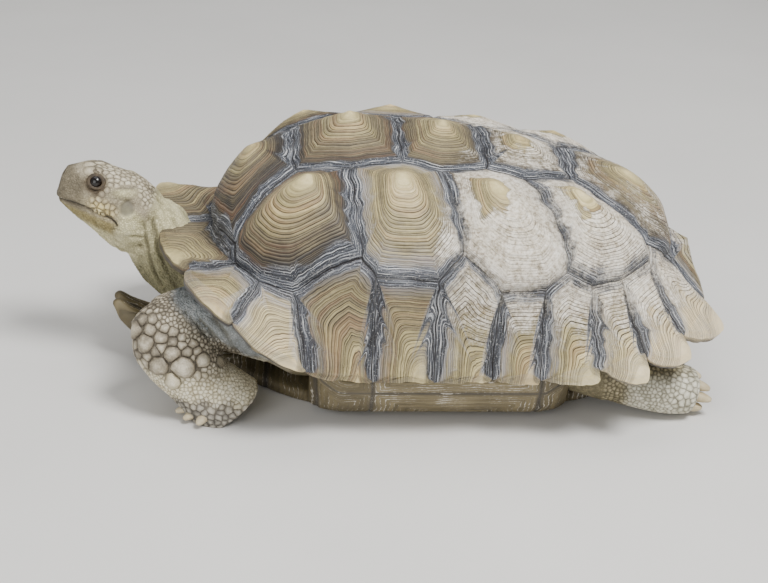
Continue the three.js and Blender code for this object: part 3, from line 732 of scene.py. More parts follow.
@dataclass(frozen=True)
class ShellFinish:
    """Horn of the shell plates: straw middles, brown growth rings with painted terrace shade and crest
    highlights, slate seams, dry mud.
    """

    name: str = "shell_horn"
    straw: tuple = (
        (0.0, (230, 214, 166)), (0.15, (202, 186, 134)), (0.32, (166, 152, 106)), (0.5, (126, 114, 83)),
        (0.68, (92, 82, 62)), (0.86, (62, 55, 46)), (1.0, (46, 43, 42)),
    )
    slate: tuple = (
        (0.3, (22, 24, 28)), (0.44, (44, 47, 54)), (0.53, (78, 82, 92)), (0.6, (148, 152, 158)),
        (0.72, (236, 235, 232)),
    )
    flush: Colour = (196, 140, 96)
    old_horn: Colour = (252, 230, 190)
    ring_line: Colour = (24, 19, 15)
    fine_line: Colour = (54, 44, 34)
    # Painted highlight along the crest of each growth ring.
    crest: Colour = (238, 226, 196)
    scratch: Colour = (58, 46, 34)
    chalk: Colour = (186, 184, 186)
    fray: Colour = (226, 224, 220)
    crack: Colour = (38, 34, 34)

    def make(self, effects: Effects) -> Material:
        """Builds the material.

        Args:
            effects: the shared effects.

        Returns:
            The material, reading ring, band, seam, slate, dust and brown from the mesh.
        """
        w = Surface(self.name, 0.55)
        ring, band, seam = w.attribute("ring"), w.attribute("band"), w.attribute("seam")
        slate, dust, brown = w.attribute("slate"), w.attribute("dust"), w.attribute("brown")
        place, phase = w.place(), w.math("FRACT", band)
        blotch, hatch = w.noise(place, 36.0, 4.0, 0.6), w.streaks(place, 46.0, band, 4.5)
        thread = w.streaks(place, 34.0, seam, 1.7, 4.0)
        grown = ring.spread(0.06, 0.24)
        # The small phase term darkens each growth ring towards its outer edge: painted terrace shade.
        body = w.ramp(w.sum(
            -0.45, (ring * w.sum(0.26, (brown, 0.66)), 1.0), ((w.toss(band) - 0.5) * grown, 0.2),
            (w.streaks(place, 16.0, band, 0.9), 0.62), (w.noise(place, 240.0, 4.0, 0.7), 0.3), (blotch, 0.3),
            (phase, 0.08), (slate.spread(-1.0, 0.05) * brown, 0.3), (hatch, -0.12),
        ), self.straw)
        body = w.tint(body, w.streaks(place, 9.0, band, 0.35).spread(0.48, 0.66) * 0.2, self.flush)
        body = w.tint(body, brown.spread(0.05, -0.3, 0.0, 0.6), self.old_horn)
        faint = w.streaks(place, 30.0, band, 0.5).spread(0.18, 0.38) * w.sum(0.62, (w.toss(band, 0.37), 0.6))
        worn = grown * ring.spread(0.08, 0.42, 0.4, 1.0)
        line = w.to_whole(phase).spread(0.125, 0.03) * faint * worn
        body = w.tint(body, line * 0.96, self.ring_line)
        third = w.math("FRACT", w.sum(0.25, (band, 3.0)))
        fine = w.to_whole(third).spread(0.3, 0.08) * w.streaks(place, 30.0, band, 2.6).spread(0.4, 0.62)
        body = w.tint(body, fine * grown * 0.62, self.fine_line)
        # Painted highlight along the crest of each growth ring.
        body = w.tint(body, phase.spread(0.12, 0.3) * phase.spread(0.6, 0.3) * grown * 0.1, self.crest)
        body = w.tint(body, hatch.spread(0.5, 0.62) * grown * 0.42, self.scratch)
        chalk = slate.spread(-1.6, 0.0) * brown.spread(0.5, 0.15) * thread.spread(0.35, 0.6)
        body = w.tint(body, chalk * 0.6, self.chalk)
        zebra = w.math("SINE", w.sum(0.0, (seam, 2.3), (w.noise(place, 70.0), 14.0)))
        slate_mask = w.sum(-0.24, (slate, 1.0), (blotch, 0.5), (thread, 0.05)).spread(-0.12, 0.3)
        body = w.mix(slate_mask * 0.92, body, w.ramp(w.sum(0.0, (thread, 1.0), (zebra, 0.05)), self.slate))
        frayed = w.noise(place, 620.0, 3.0, 0.7).spread(0.56, 0.7) * slate_mask
        body = w.tint(body, frayed * 0.55, self.fray)
        body = w.tint(body, seam.spread(0.9, 0.2) * 0.8, self.crack)
        hollow = w.sum(0.0, (line, -1.3), (slate_mask, -0.7), (hatch, 0.8))
        mud = w.group(effects.dust, Base=body, Where=place, Cover=dust, Hollow=hollow)
        w.feed(w.shader.inputs["Roughness"], w.sum(0.42, (ring, 0.16), (mud["Mask"], 0.34)))
        height = w.sum(
            0.6, (line, -0.5), (hatch, 0.45), (slate_mask * thread, 0.9),
            (effects.grained(w, place, 520.0), 0.16), (mud["Rise"], 1.0))
        return w.done(mud["Color"], height, 0.0013, 0.85)


@dataclass(frozen=True)
class BellyFinish:
    """Horn of the belly: yellowish brown with dark growth lines, its tones darkened as painted shade under
    the shell's rim.
    """

    name: str = "belly_horn"
    # Tones darker than the horn itself: painted shade under the shell's rim.
    horn: tuple = ((0.2, (62, 55, 38)), (0.5, (94, 84, 58)), (0.75, (122, 110, 80)), (0.98, (150, 137, 104)))
    ring_line: Colour = (60, 50, 36)
    seam_tone: Colour = (52, 50, 50)
    mud_cover: float = 0.22

    def make(self, effects: Effects) -> Material:
        """Builds the material, reading band and seam from the mesh.

        Args:
            effects: the shared effects.

        Returns:
            The material.
        """
        w = Surface(self.name, 0.58)
        place, band, seam = w.place(), w.attribute("band"), w.attribute("seam")
        streak = w.streaks(place, 20.0, band, 1.1)
        level = w.sum(-0.1, (streak, 0.7), (w.toss(band), 0.3), (w.noise(place, 30.0, 4.0), 0.4))
        near_line = w.to_whole(w.math("FRACT", band)).spread(0.2, 0.03)
        line = near_line * w.sum(0.3, (w.toss(band, 0.4), 0.7))
        body = w.tint(w.ramp(level, self.horn), line * 0.45, self.ring_line)
        body = w.tint(body, seam.spread(4.5, 0.5) * 0.7, self.seam_tone)
        mud = w.group(effects.dust, Base=body, Where=place, Cover=self.mud_cover, Hollow=line)
        height = w.sum(0.6, (line, -0.5), (streak, 0.3), (effects.grained(w, place, 450.0), 0.2))
        return w.done(mud["Color"], height, 0.001, 0.8)


@dataclass(frozen=True)
class PlainFinish:
    """A finish of two mottled tones with a fine grain.

    Attributes:
        name: name of the finish.
        dark: darker tone.
        light: lighter tone.
        patch: size of the mottling, as a texture scale.
        grain: scale of the grain in the surface.
        depth: depth of the grain, in metres.
        roughness: roughness.
    """

    name: str
    dark: Colour
    light: Colour
    patch: float
    grain: float
    depth: float
    roughness: float

    def make(self) -> Material:
        """Builds the material.

        Returns:
            The material.
        """
        w = Surface(self.name, self.roughness)
        place = w.place()
        tone = w.ramp(w.noise(place, self.patch, 4.0), ((0.3, self.dark), (0.7, self.light)))
        return w.done(tone, w.noise(place, self.grain), self.depth)


@dataclass(frozen=True)
class SkinFinish:
    """Hide: granular skin with creases and an eardrum, with painted shade in its openings, creases and
    between its scales, and a painted highlight on the ridges of its folds.
    """

    name: str = "skin_scales"
    groove: Colour = (80, 70, 52)
    eardrum: Colour = (98, 94, 82)
    # Painted shade on the skin in the gaps between scales.
    between_scales: Colour = (52, 46, 37)
    # Painted shade in the creases of the skin's folds and pleats.
    crease: Colour = (86, 80, 58)
    # Painted highlight along the ridges beside the skin's folds.
    ridge: Colour = (226, 220, 186)
    # Painted shade in the mouth, nostrils, eye sockets and the fold above the temple.
    opening: Colour = (30, 22, 17)
    warp_scale: float = 70.0
    warp_reach: float = 0.004
    granule_scale: float = 430.0

    def make(self, effects: Effects) -> Material:
        """Builds the material, reading the regions, the eardrum and the masks of painted shade and painted
        ridge highlight from the mesh.

        Args:
            effects: the shared effects.

        Returns:
            The material.
        """
        w = Surface(self.name, 0.68)
        place, ear = w.place(), w.attribute("ear")
        warp = w.fed(w.node("ShaderNodeTexNoise"), {"Vector": place, "Scale": self.warp_scale}, "Color")
        push = w.node("ShaderNodeVectorMath", operation="MULTIPLY_ADD")
        pushed = w.fed(push, (warp, (self.warp_reach,) * 3, place))
        granule = w.cells(pushed, self.granule_scale, "DISTANCE_TO_EDGE").spread(0.02, 0.22)
        tone = effects.hide(w, place, 0.0)
        # Painted shade between scales, in creases and in the openings; painted highlight on the fold ridges.
        for share, colour in (
            ((1 - granule) * (1 - ear) * 0.3, self.groove), (ear * 0.8, self.eardrum),
            (w.attribute("sown") * 0.9, self.between_scales), (w.attribute("crease") * 0.62, self.crease),
            (w.attribute("ridge") * 0.45, self.ridge), (w.attribute("dark"), self.opening),
        ):
            tone = w.tint(tone, share, colour)
        height = w.sum(0.0, (granule * (1 - ear), 0.8), (effects.grained(w, place, 640.0), 0.3))
        return w.done(tone, height, 0.0009, 0.75)


@dataclass(frozen=True)
class ScaleFinish:
    """Horn of the skin's scales: dark at the edge, pale at the crown, each a little different."""

    name: str = "horny_scale"
    contrast: float = 0.5
    rim: float = 0.55
    roughness: float = 0.55
    rim_tone: Colour = (62, 54, 43)
    ring_tone: Colour = (70, 58, 42)

    def make(self, effects: Effects) -> Material:
        """Builds the material, reading tone, edge and the regions from the mesh.

        Args:
            effects: the shared effects.

        Returns:
            The material.
        """
        w = Surface(self.name, self.roughness)
        place, tone, edge = w.place(), w.attribute("tone"), w.attribute("edge")
        lift = w.sum(-0.12, (tone, 0.6 * self.contrast), (0.6 - edge, 0.95 * self.contrast))
        rings = w.math("SINE", w.sum(0.0, (edge, 30.0), (w.noise(place, 300.0, 2.0), 5.0)))
        body = w.tint(effects.hide(w, place, lift), edge.spread(0.9, 1.0) * self.rim, self.rim_tone)
        body = w.tint(body, rings.spread(0.5, 1.0) * 0.16, self.ring_tone)
        return w.done(body, w.sum(0.0, (rings, 0.14), (effects.grained(w, place, 900.0), 0.5)), 0.0006)


# ------------------------------------------------------------------ the shell


class Part(Enum):
    """The parts of a plate's outline."""

    SEAM = 0
    FRONT = 1
    REAR = 2
    RIM = 3


@dataclass
class Plate:
    """One horny plate on the flattened shell.

    Attributes:
        name: name of the piece.
        border: its outline, anticlockwise from above.
        part: which part of the outline each point lies on.
        peak: the highest point.
        height: the height there.
        rings: number of growth rings.
        brown: how dark its rings are, below 0 for the palest.
        dust: how much dry mud it holds, 0 to 1.
        seed: seed of its own irregularities.
    """

    name: str
    border: Array
    part: Array
    peak: Array
    height: float
    rings: int
    brown: float
    dust: float
    seed: int

    def __post_init__(self) -> None:
        """Puts the border anticlockwise."""
        nxt = np.roll(self.border, -1, axis=0)
        if np.sum(self.border[:, 0] * nxt[:, 1] - self.border[:, 1] * nxt[:, 0]) < 0:
            self.border, self.part = self.border[::-1].copy(), self.part[::-1].copy()

    @property
    def free(self) -> Array:
        """Which points of the outline lie on the free rim."""
        return self.part == Part.RIM.value

    @property
    def marginal(self) -> bool:
        """Whether the plate reaches the free rim."""
        return bool(self.free.any())


@dataclass
class ShellForm:
    """The dome and its skirt, as a map from a flattened plan to the surface. Millimetres.

    The skirt's three values are at the side, the front and the rear.
    """

    centre_x: float = -39.0
    front: float = 183.0
    rear: float = 258.0
    half: float = 171.0
    front_power: float = 2.45
    rear_power: float = 2.65
    top: float = 236.0
    top_slope: float = -0.056
    round_plan: float = 0.96
    round_height: float = 0.98
    skirt_top: Triple = (152.0, 147.0, 142.0)
    skirt_length: Triple = (90.0, 38.0, 65.0)
    skirt_slope: Triple = (86.0, 4.0, 50.0)
    skirt_curl: float = 7.0
    rim: float = 1.5
    nape_rise: float = 5.0
    nape_droop: float = 18.0
    swells: tuple = ((-130, 56, 44, -15), (240, 12, 28, 9))
    probe: float = 1.5

    def around(self, values: Triple, c: Array) -> Array:
        """A value round the shell.

        Args:
            values: at the side, the front and the rear.
            c: station along the plan, -1 in front to 1 at the rear.

        Returns:
            The value there.
        """
        side, front, rear = values
        return side + (front - side) * smooth((-c - 0.25) / 0.75) + (rear - side) * smooth((c - 0.25) / 0.75)

    def ring_point(self, angle: float, share: float, side: int) -> Array:
        """A point of the plan.

        Args:
            angle: degrees round the plan, 0 in front.
            share: 1 at the edge of the dome.
            side: sign of Y.

        Returns:
            The flat point.
        """
        turn = math.cos(math.radians(angle))
        reach, power = (self.front, self.front_power) if turn > 0 else (self.rear, self.rear_power)
        c = -math.copysign(abs(turn) ** (2 / power), turn)
        y = share * self.half * max(1 - abs(c) ** power, 0.0) ** (1 / power)
        return np.array([share * reach * c, side * y])

    def wrap(self, flat: Array) -> Array:
        """Puts flat points on the dome, or on the skirt where their share passes 1.

        Args:
            flat: flat points along the last axis.

        Returns:
            Points in space.
        """
        x, y = flat[..., 0], flat[..., 1]
        reach = np.where(x < 0, self.front, self.rear)
        power = np.where(x < 0, self.front_power, self.rear_power)
        share = (np.abs(x / reach) ** power + np.abs(y / self.half) ** power) ** (1 / power)
        share = np.maximum(share, 1e-6)
        ex, ey = x / share, y / share
        c = ex / reach
        rise = np.minimum(share, 1) * (np.pi / 2)
        plan = np.sin(rise) ** self.round_plan
        px = ex * plan
        skirt_top = self.around(self.skirt_top, c)
        top = self.top + self.top_slope * px
        height = skirt_top + (top - skirt_top) * np.maximum(np.cos(rise), 0) ** self.round_height
        away = unit(np.stack([
            signed_power(ex / reach, power - 1) / reach, signed_power(ey / self.half, power - 1) / self.half,
        ], axis=-1))
        length = self.around(self.skirt_length, c)
        curl = math.radians(self.skirt_curl)
        start = np.radians(self.around(self.skirt_slope, c)) + curl
        past = np.maximum(share - 1, 0) / (self.rim - 1)
        slope = start - 2 * curl * past
        out = length * (np.sin(start) - np.sin(slope)) / (2 * curl)
        down = length * (np.cos(slope) - np.cos(start)) / (2 * curl)
        flare = smooth(past) * self.nape_flare(ex, ey)
        swell = sum(
            height * np.exp(-((x - sx) ** 2 + (y - sy) ** 2) / spread**2)
            for sx, sy, spread, height in self.swells)
        return np.stack([
            self.centre_x + px + away[..., 0] * out, ey * plan + away[..., 1] * out,
            height - down + flare + swell,
        ], axis=-1)

    def nape_flare(self, ex: Array, ey: Array) -> Array:
        """The bend of the rim in front on the right.

        Args:
            ex: place on the edge of the dome, along.
            ey: the same, across.

        Returns:
            How far it is bent up.
        """
        across = ey / self.half
        rise = smooth(across / 0.3) * smooth((0.5 - across) / 0.2)
        droop = smooth((across - 0.4) / 0.25) * smooth((1 - across) / 0.2)
        return np.where((ex > 0) | (ey < 0), 0.0, self.nape_rise * rise - self.nape_droop * droop)

    def normal(self, flat: Array) -> Array:
        """The surface's outward direction.

        Args:
            flat: flat points along the last axis.

        Returns:
            A direction a point.
        """
        steps = np.eye(2) * self.probe
        along_x, along_y = (self.wrap(flat + step) - self.wrap(flat - step) for step in steps)
        return unit(np.cross(along_x, along_y))


# Corners of the seams: flat x and y on the dome, or degrees round the plan and share of the way out.
DOME_CORNERS = {
    "v1v2": (-70.1, 40), "c1c2": (-33.6, 47), "v2v3": (-3, 38), "c2c3": (20.1, 47), "v3v4": (46.9, 38),
    "c3c4": (73, 44), "v4v5": (104, 30),
}
RING_CORNERS = {
    "nape": (0, 1), "m0": (32, 0.89), "m1": (33.7, 1.01), "m2": (47.9, 1.07), "m3": (60.3, 1.07),
    "peak12": (79.1, 0.8), "m4": (83.2, 0.93), "m5": (92.3, 0.94), "peak23": (96.3, 0.77),
    "m6": (102.3, 1.02), "m7": (111.6, 1.01), "peak34": (116.8, 0.9), "m8": (123.7, 1), "m9": (133.8, 0.99),
    "m10": (146.7, 0.92), "rump": (150.2, 0.82), "m11": (164.7, 1.08), "tailTop": (180, 1.06),
}
RIM_SEAMS = (0, 27.5, 49, 67, 82.8, 92.3, 101.2, 110.5, 123, 134.4, 147.6, 168)
# Reach in millimetres, place of the tip and bluntness of each marginal's lobe, the last over the tail.
LOBES = (
    (13, 0.25, 0.5), (10, 0.3, 0.5), (4, 0.5, 0.6), (2, 0.8, 0.8), (1, 0.9, 0.8), (2, 0.9, 0.8),
    (5, 0.9, 0.9), (12, 0.92, 0.9), (23, 0.85, 0.9), (23, 0.8, 0.5), (28, 0.8, 0.8), (0, 0.5, 0.5),
)
RIGHT_NAPE_LOBE = (30, 0.7, 0.6)
# Corners, then flat place and height of the peak, tone of the rings and dry mud, from front to rear.
BACK = (
    (("m0", "v1v2"), (-97.2, 0, 14), 1.15, 0.0), (("v1v2", "c1c2", "v2v3"), (-30.6, 0, 22), 0.68, 0.0),
    (("v2v3", "c2c3", "v3v4"), (20.4, 0, 16), 0.5, 0.3), (("v3v4", "c3c4", "v4v5"), (68.8, 0, 12), 0.5, 0.5),
    (("v4v5", "rump", "m11", "tailTop"), (159.1, 0, 12), 0.5, 0.35),
)
FLANK = (
    (("m0", "m1", "m2", "m3", "peak12", "c1c2", "v1v2"), (-62.4, 61.1, 11), 0.78, 0.0),
    (("peak12", "m4", "m5", "peak23", "c2c3", "v2v3", "c1c2"), (-5, 61.8, 9), 0.22, 0.66),
    (("peak23", "m6", "m7", "peak34", "c3c4", "v3v4", "c2c3"), (51.2, 61.2, 6), 0.36, 0.9),
    (("peak34", "m8", "m9", "m10", "rump", "v4v5", "c3c4"), (108.1, 56.2, 8), 0.2, 0.68),
)
RIM = (
    (("nape", "m0", "m1"), 0.5, 0.0), (("m1", "m2"), 0.16, 0.0), (("m2", "m3"), -0.08, 0.0),
    (("m3", "peak12", "m4"), 0.36, 0.0), (("m4", "m5"), 0.32, 0.4), (("m5", "peak23", "m6"), 0.16, 0.5),
    (("m6", "m7"), 0.16, 0.52), (("m7", "peak34", "m8"), 0.12, 0.55), (("m8", "m9"), -0.08, 0.62),
    (("m9", "m10"), -0.2, 0.66), (("m10", "rump", "m11"), -0.3, 0.6),
)


@dataclass
class Carapace:
    """The upper shell, each plate its own piece with its growth rings. Millimetres.

    Attributes:
        form: the surface that the plates lie on.
        spacing: distance between points along a plate's border.
        wall: thickness below the surface.
        step: height of a plate's edge over its seam.
        seam_gap: half the crack between neighbours.
        seam_slope: width of the fall to the seam.
        lift_power: how the plates rise to their peaks.
        areola: share of a plate that its smooth middle takes.
        ring_depth: height of the growth terraces.
        wobble: how far the seams waver.
        wobble_size: size of their waves.
        corner_blend: how sharply the rings of a marginal turn a corner.
        rows: rings of points on a large plate and on a marginal.
    """

    form: ShellForm = field(default_factory=ShellForm)
    spacing: float = 2.6
    wall: float = 7.0
    step: float = 2.4
    seam_gap: float = 0.2
    seam_slope: float = 7.5
    lift_power: float = 1.5
    areola: float = 0.1
    ring_depth: float = 0.42
    wobble: float = 0.9
    wobble_size: float = 13.0
    corner_blend: float = 7.0
    rows: tuple[int, int] = (122, 84)

    def corner(self, name: str, side: int) -> Array:
        """A corner of the seams.

        Args:
            name: its name.
            side: sign of Y.

        Returns:
            The flat point.
        """
        if name in DOME_CORNERS:
            x, y = DOME_CORNERS[name]
            return np.array([x, side * y])
        return self.form.ring_point(*RING_CORNERS[name], side)

    def run(self, a: Array, b: Array) -> list[Array]:
        """Points from one corner to the next.

        Args:
            a: the first corner.
            b: the next one.

        Returns:
            The points, the last one left out.
        """
        length = np.linalg.norm(self.form.wrap(a) - self.form.wrap(b))
        count = max(2, round(float(length) / self.spacing))
        return [a + (b - a) * i / count for i in range(count)]

    def free_edge(self, i: int, side: int) -> list[Array]:
        """The free edge of a marginal plate, as a lobe between two seams.

        Args:
            i: the plate's number from the front.
            side: sign of Y, or 0 over the tail.

        Returns:
            Flat points from seam to seam.
        """
        reach, peak, power = RIGHT_NAPE_LOBE if i == 0 and side == 1 else LOBES[i]
        first, last = (RIM_SEAMS[i], RIM_SEAMS[i + 1]) if side else (RIM_SEAMS[i], 360 - RIM_SEAMS[i])
        made = []
        for t in np.linspace(0, 1, 30 if side else 40):
            angle = first + (last - first) * t
            rising = math.sin(math.pi / 2 * min(t / peak, 1)) ** power
            falling = math.sqrt(max(1 - (max(t - peak, 0) / (1 - peak)) ** 2, 0))
            folded, hand = (360 - angle, 1) if angle > 180 else (angle, side or -1)
            x = self.form.ring_point(folded, 1, hand)[0]
            c = x / (self.form.front if x < 0 else self.form.rear)
            length = float(self.form.around(self.form.skirt_length, np.array(c)))
            share = self.form.rim + reach * rising * falling * (self.form.rim - 1) / length
            made.append(self.form.ring_point(folded, share, hand))
        return made

    def closed(self, name: str, corners: list[Array], peak: tuple, side: int, **more: object) -> Plate:
        """A plate whose border runs straight from corner to corner.

        Args:
            name: name of the piece.
            corners: flat corners in order.
            peak: flat place and height of the peak on the right side.
            side: sign of Y.
            more: the plate's other values.

        Returns:
            The plate.
        """
        border = [p for a, b in zip(corners, corners[1:] + corners[:1]) for p in self.run(a, b)]
        part = np.full(len(border), Part.SEAM.value)
        x, y, height = peak
        return Plate(name, np.array(border), part, np.array([x, side * y], float), height, **more)

    def marginal(self, name: str, names: tuple, i: int, side: int, **more: object) -> Plate:
        """A plate that reaches the free rim.

        Args:
            name: name of the piece.
            names: its upper corners.
            i: its number from the front.
            side: sign of Y, or 0 over the tail.
            more: the plate's other values.

        Returns:
            The plate.
        """
        hands = (side,) * len(names) if side else (-1, -1, 1)
        tops = [self.corner(n, hand) for n, hand in zip(names, hands)]
        edge = self.free_edge(i, side)
        across = [p for a, b in zip(tops, tops[1:]) for p in self.run(a, b)]
        down, up = self.run(tops[-1], edge[-1]), self.run(edge[0], tops[0])
        kinds = (Part.SEAM, Part.REAR, Part.RIM, Part.FRONT)
        part = np.repeat([kind.value for kind in kinds], [len(across), len(down), len(edge) - 1, len(up)])
        middle = RIM_SEAMS[i] + 0.72 * (RIM_SEAMS[i + 1] - RIM_SEAMS[i]) if side else 180
        share, height = (1.46, 3) if side else (1.2, 15)
        peak = self.form.ring_point(middle, share, side or -1)
        return Plate(name, np.array(across + down + edge[1:][::-1] + up), part, peak, height, **more)

    def plates(self) -> list[Plate]:
        """All the plates of the upper shell.

        Returns:
            Five along the back, four on each flank, eleven marginals a side and one over the tail.
        """
        made = []
        for i, (names, peak, brown, dust) in enumerate(BACK):
            left, right = ([self.corner(n, side.value) for n in names] for side in Side)
            if i == 0:
                left = [self.corner("nape", -1), *left]
            mirrored = right[:-1] if names[-1] == "tailTop" else right
            made.append(self.closed(f"back_plate_{i + 1}", left + mirrored[::-1], peak, 1,
                                    rings=26, brown=brown, dust=dust, seed=i))
        for side in Side:
            for i, (names, peak, brown, dust) in enumerate(FLANK):
                corners = [self.corner(n, side.value) for n in names]
                made.append(self.closed(f"flank_plate_{side.word}_{i + 1}", corners, peak, side.value,
                                        rings=30, brown=brown, dust=dust, seed=20 + i + 5 * side.value))
            for i, (names, brown, dust) in enumerate(RIM):
                made.append(self.marginal(f"rim_plate_{side.word}_{i + 1}", names, i, side.value,
                                          rings=26, brown=brown, dust=dust, seed=50 + i + 12 * side.value))
        made.append(self.marginal("tail_plate", ("m11", "tailTop", "m11"), 11, 0,
                                  rings=18, brown=0.15, dust=0.3, seed=90))
        return made

    def terraces(self, plate: Plate, r: Array, border: Array) -> tuple[Array, Array]:
        """The growth rings of a plate.

        Args:
            plate: the plate.
            r: how far each point is grown, 0 in the middle and 1 at the seam.
            border: flat points of its border.

        Returns:
            The running number of the ring and how far the surface sinks there, 0 to 1.
        """
        rng = np.random.default_rng(400 + plate.seed)
        widths = rng.uniform(0.4, 1.6, plate.rings) * np.linspace(1.35, 0.65, plate.rings)
        edges = self.areola + (1 - self.areola) * np.concatenate([[0], np.cumsum(widths) / widths.sum()])
        spots = np.concatenate([
            np.broadcast_to(border[None] / 34.0, (*r.shape, 2)), r[..., None] * 4.0,
        ], axis=-1)
        grown = smooth((r - self.areola) / 0.15)
        waver = 0.005 * Ripple(700 + plate.seed, 3).at(spots, 1.0)
        shifted = np.clip(r + waver * grown * (1 - r**6), 0, 1)
        band = np.interp(shifted, edges, np.arange(plate.rings + 1))
        phase = band - np.floor(band)
        sunk = (1 - smooth(np.minimum(phase, 1 - phase) / 0.28)) * grown
        strength = 0.65 + 0.35 * Ripple(900 + plate.seed, 3).at(spots * 1.4, 1.0)
        return band, sunk * np.clip(strength, 0.2, 1.0)

    def grown(self, plate: Plate, top: Array, world: Array, r: Array) -> Array:
        """How far each point is from the oldest horn: a marginal grows at its top and front.

        Args:
            plate: the plate.
            top: points of its face in space.
            world: its border in space.
            r: share of the way from its peak to its border, one a row.

        Returns:
            0 at the oldest point, 1 at the seams.
        """
        if not plate.marginal:
            return np.broadcast_to(r[:, None], top.shape[:2])
        closeness = np.ones(top.shape[:2])
        for kind, reach in ((Part.SEAM, 0.96), (Part.FRONT, 0.78), (Part.REAR, 0.17)):
            away = to_path(top, world[plate.part == kind.value])
            reach = 1.0 if plate.name == "tail_plate" else reach
            share = np.clip(away / max(float(away.max()) * reach, 1.0), 0.001, 1.0)
            closeness = closeness + share**-self.corner_blend - 1
        return 1 - closeness ** (-1 / self.corner_blend)

    def seam_zone(self, plate: Plate, world: Array, centre: Array) -> tuple[Array, Array]:
        """How wide the slate strip is along a plate's border.

        Args:
            plate: the plate.
            world: its border in space.
            centre: its peak in space.

        Returns:
            The width at each border point, and the share of a ray that runs square to the border.
        """
        along = unit(np.roll(world, -1, axis=0) - np.roll(world, 1, axis=0))
        ray = unit(world - centre)
        slant = np.sum(ray * along, axis=-1)
        square = np.sqrt(np.clip(1 - slant**2, 0.05, 1))
        down = smooth(-unit(ray - along * slant[:, None])[:, 2] / 0.8)
        if plate.marginal:
            width = 8.5 - 2.0 * down
        else:
            lower = 10.5 if plate.name.startswith("flank") else 5.5
            width = 7.0 + lower * down + 4.0 * smooth((world[:, 0] - 10) / 30)
        width = width * (1.35 if plate.brown > 0.7 else 1.0)
        width = np.where(plate.free, 0.0, width * (1 + 0.28 * Ripple(260 + plate.seed, 3).at(world, 22.0)))
        return np.where(plate.free, 0.0, ring_blur(width[:, None], 3.0)[:, 0]), square

    def build_plate(self, plate: Plate) -> Object:
        """The mesh of one plate, closed below, with its named numbers.

        Args:
            plate: the plate.

        Returns:
            The piece.
        """
        bend = np.stack([Ripple(seed, 2).at(plate.border, self.wobble_size) for seed in (41, 42)], axis=-1)
        border = plate.border + self.wobble * bend
        count = len(border)
        r = np.linspace(self.areola, 1.0, self.rows[plate.marginal])
        r = np.concatenate([np.linspace(0.03, self.areola, 5)[:-1], r])
        world, centre = self.form.wrap(border), self.form.wrap(plate.peak)
        reach = np.linalg.norm(world - centre, axis=-1)
        gap = np.where(plate.free, 0.0, self.seam_gap / reach)
        rounded = ring_blur(border - plate.peak, count / 24)
        sharp = smooth((r - 0.3) / 0.66)[:, None, None]
        shares = (r[:, None] * (1 - gap[None, :]))[..., None]
        flat = plate.peak + shares * (rounded * (1 - sharp) + (border - plate.peak) * sharp)
        surface = self.form.wrap(flat)
        grown = self.grown(plate, surface, world, r)
        band, sunk = self.terraces(plate, grown, border)
        width, square = self.seam_zone(plate, world, centre)
        seam = (1 - r[:, None]) * (reach * square)[None, :]
        rise = plate.height * (1 - r[:, None]) ** self.lift_power
        rugged = Ripple(150 + plate.seed, 3).at(surface, 9.0)
        lift = (self.step + rise) * smooth(seam / self.seam_slope) ** 0.75
        lift = lift - self.ring_depth * sunk * smooth(seam / 3.0) + 0.22 * rugged * smooth(seam / 5.0)
        top = surface + self.form.normal(flat) * lift[..., None]
        under, low = (
            self.form.wrap(at) - self.form.normal(at) * self.wall
            for at in (flat[-1], plate.peak + 0.5 * (border - plate.peak)))
        rings = np.concatenate([top, ((top[-1] + under) / 2)[None], under[None], low[None]])
        up = self.form.normal(plate.peak)
        ends = np.stack([centre + up * (self.step + plate.height), centre - up * self.wall])
        rows = len(rings)
        fans = zip(fan(rows * count, 0, count), fan(rows * count + 1, (rows - 1) * count, count, True))
        faces = grid_faces(rows, count)[:, ::-1].tolist() + [face for pair in fans for face in pair]
        obj = mesh_object(plate.name, np.concatenate([rings.reshape(-1, 3), ends]), faces)
        start = 40.0 * (plate.seed % 97)
        near_seam = bell(seam, 9.0) * (not plate.marginal)
        bare = grown + 0.008 * (top[..., 0] - centre[0]) + 0.08 * Ripple(170 + plate.seed, 3).at(top, 11.0)
        cover = plate.dust * self.mud(top) * smooth((bare - 0.2) / 0.22) * (1 - 0.3 * near_seam)
        strip = np.where(width[None, :] > 0.5, 1 - seam / np.maximum(width, 0.5)[None, :], -1.0)
        seam = np.where(plate.free[None, :], np.minimum(seam, 60.0) + 5.0, seam)
        # Each named number: its grid on the upper face, then its value at the peak and on the underside.
        for name, grid, peak, below in (
            ("ring", grown, float(grown[0].mean()), 0.9),
            ("band", band + start, start + float(band[0].mean()), start + plate.rings),
            ("seam", seam, 60.0, 4.0), ("slate", strip, -1.0, -1.0),
            ("dust", cover, float(cover[0].mean()), 0.0),
            ("brown", np.full(grown.shape, plate.brown), plate.brown, plate.brown),
        ):
            lower = [np.full(3 * count, below), [peak, below]]
            put_values(obj, name, np.concatenate([grid.reshape(-1), *lower]))
        return obj

    def mud(self, points: Array) -> Array:
        """Where dry mud lies: over the rear half of the back, thinner on the skirt.

        Args:
            points: points of the shell.

        Returns:
            Its cover, 0 to 1.
        """
        x, y, z = points[..., 0], np.abs(points[..., 1]), points[..., 2]
        return smooth((x + 30 + 0.25 * (y - 110)) / 50) * (0.3 + 0.7 * smooth((z - 92) / 40))

    def build(self, horn: Material) -> list[Object]:
        """Builds and dresses every plate."""
        return [settle(self.build_plate(plate), "shell", "carapace", finish=horn) for plate in self.plates()]


# ------------------------------------------------------------------ flesh


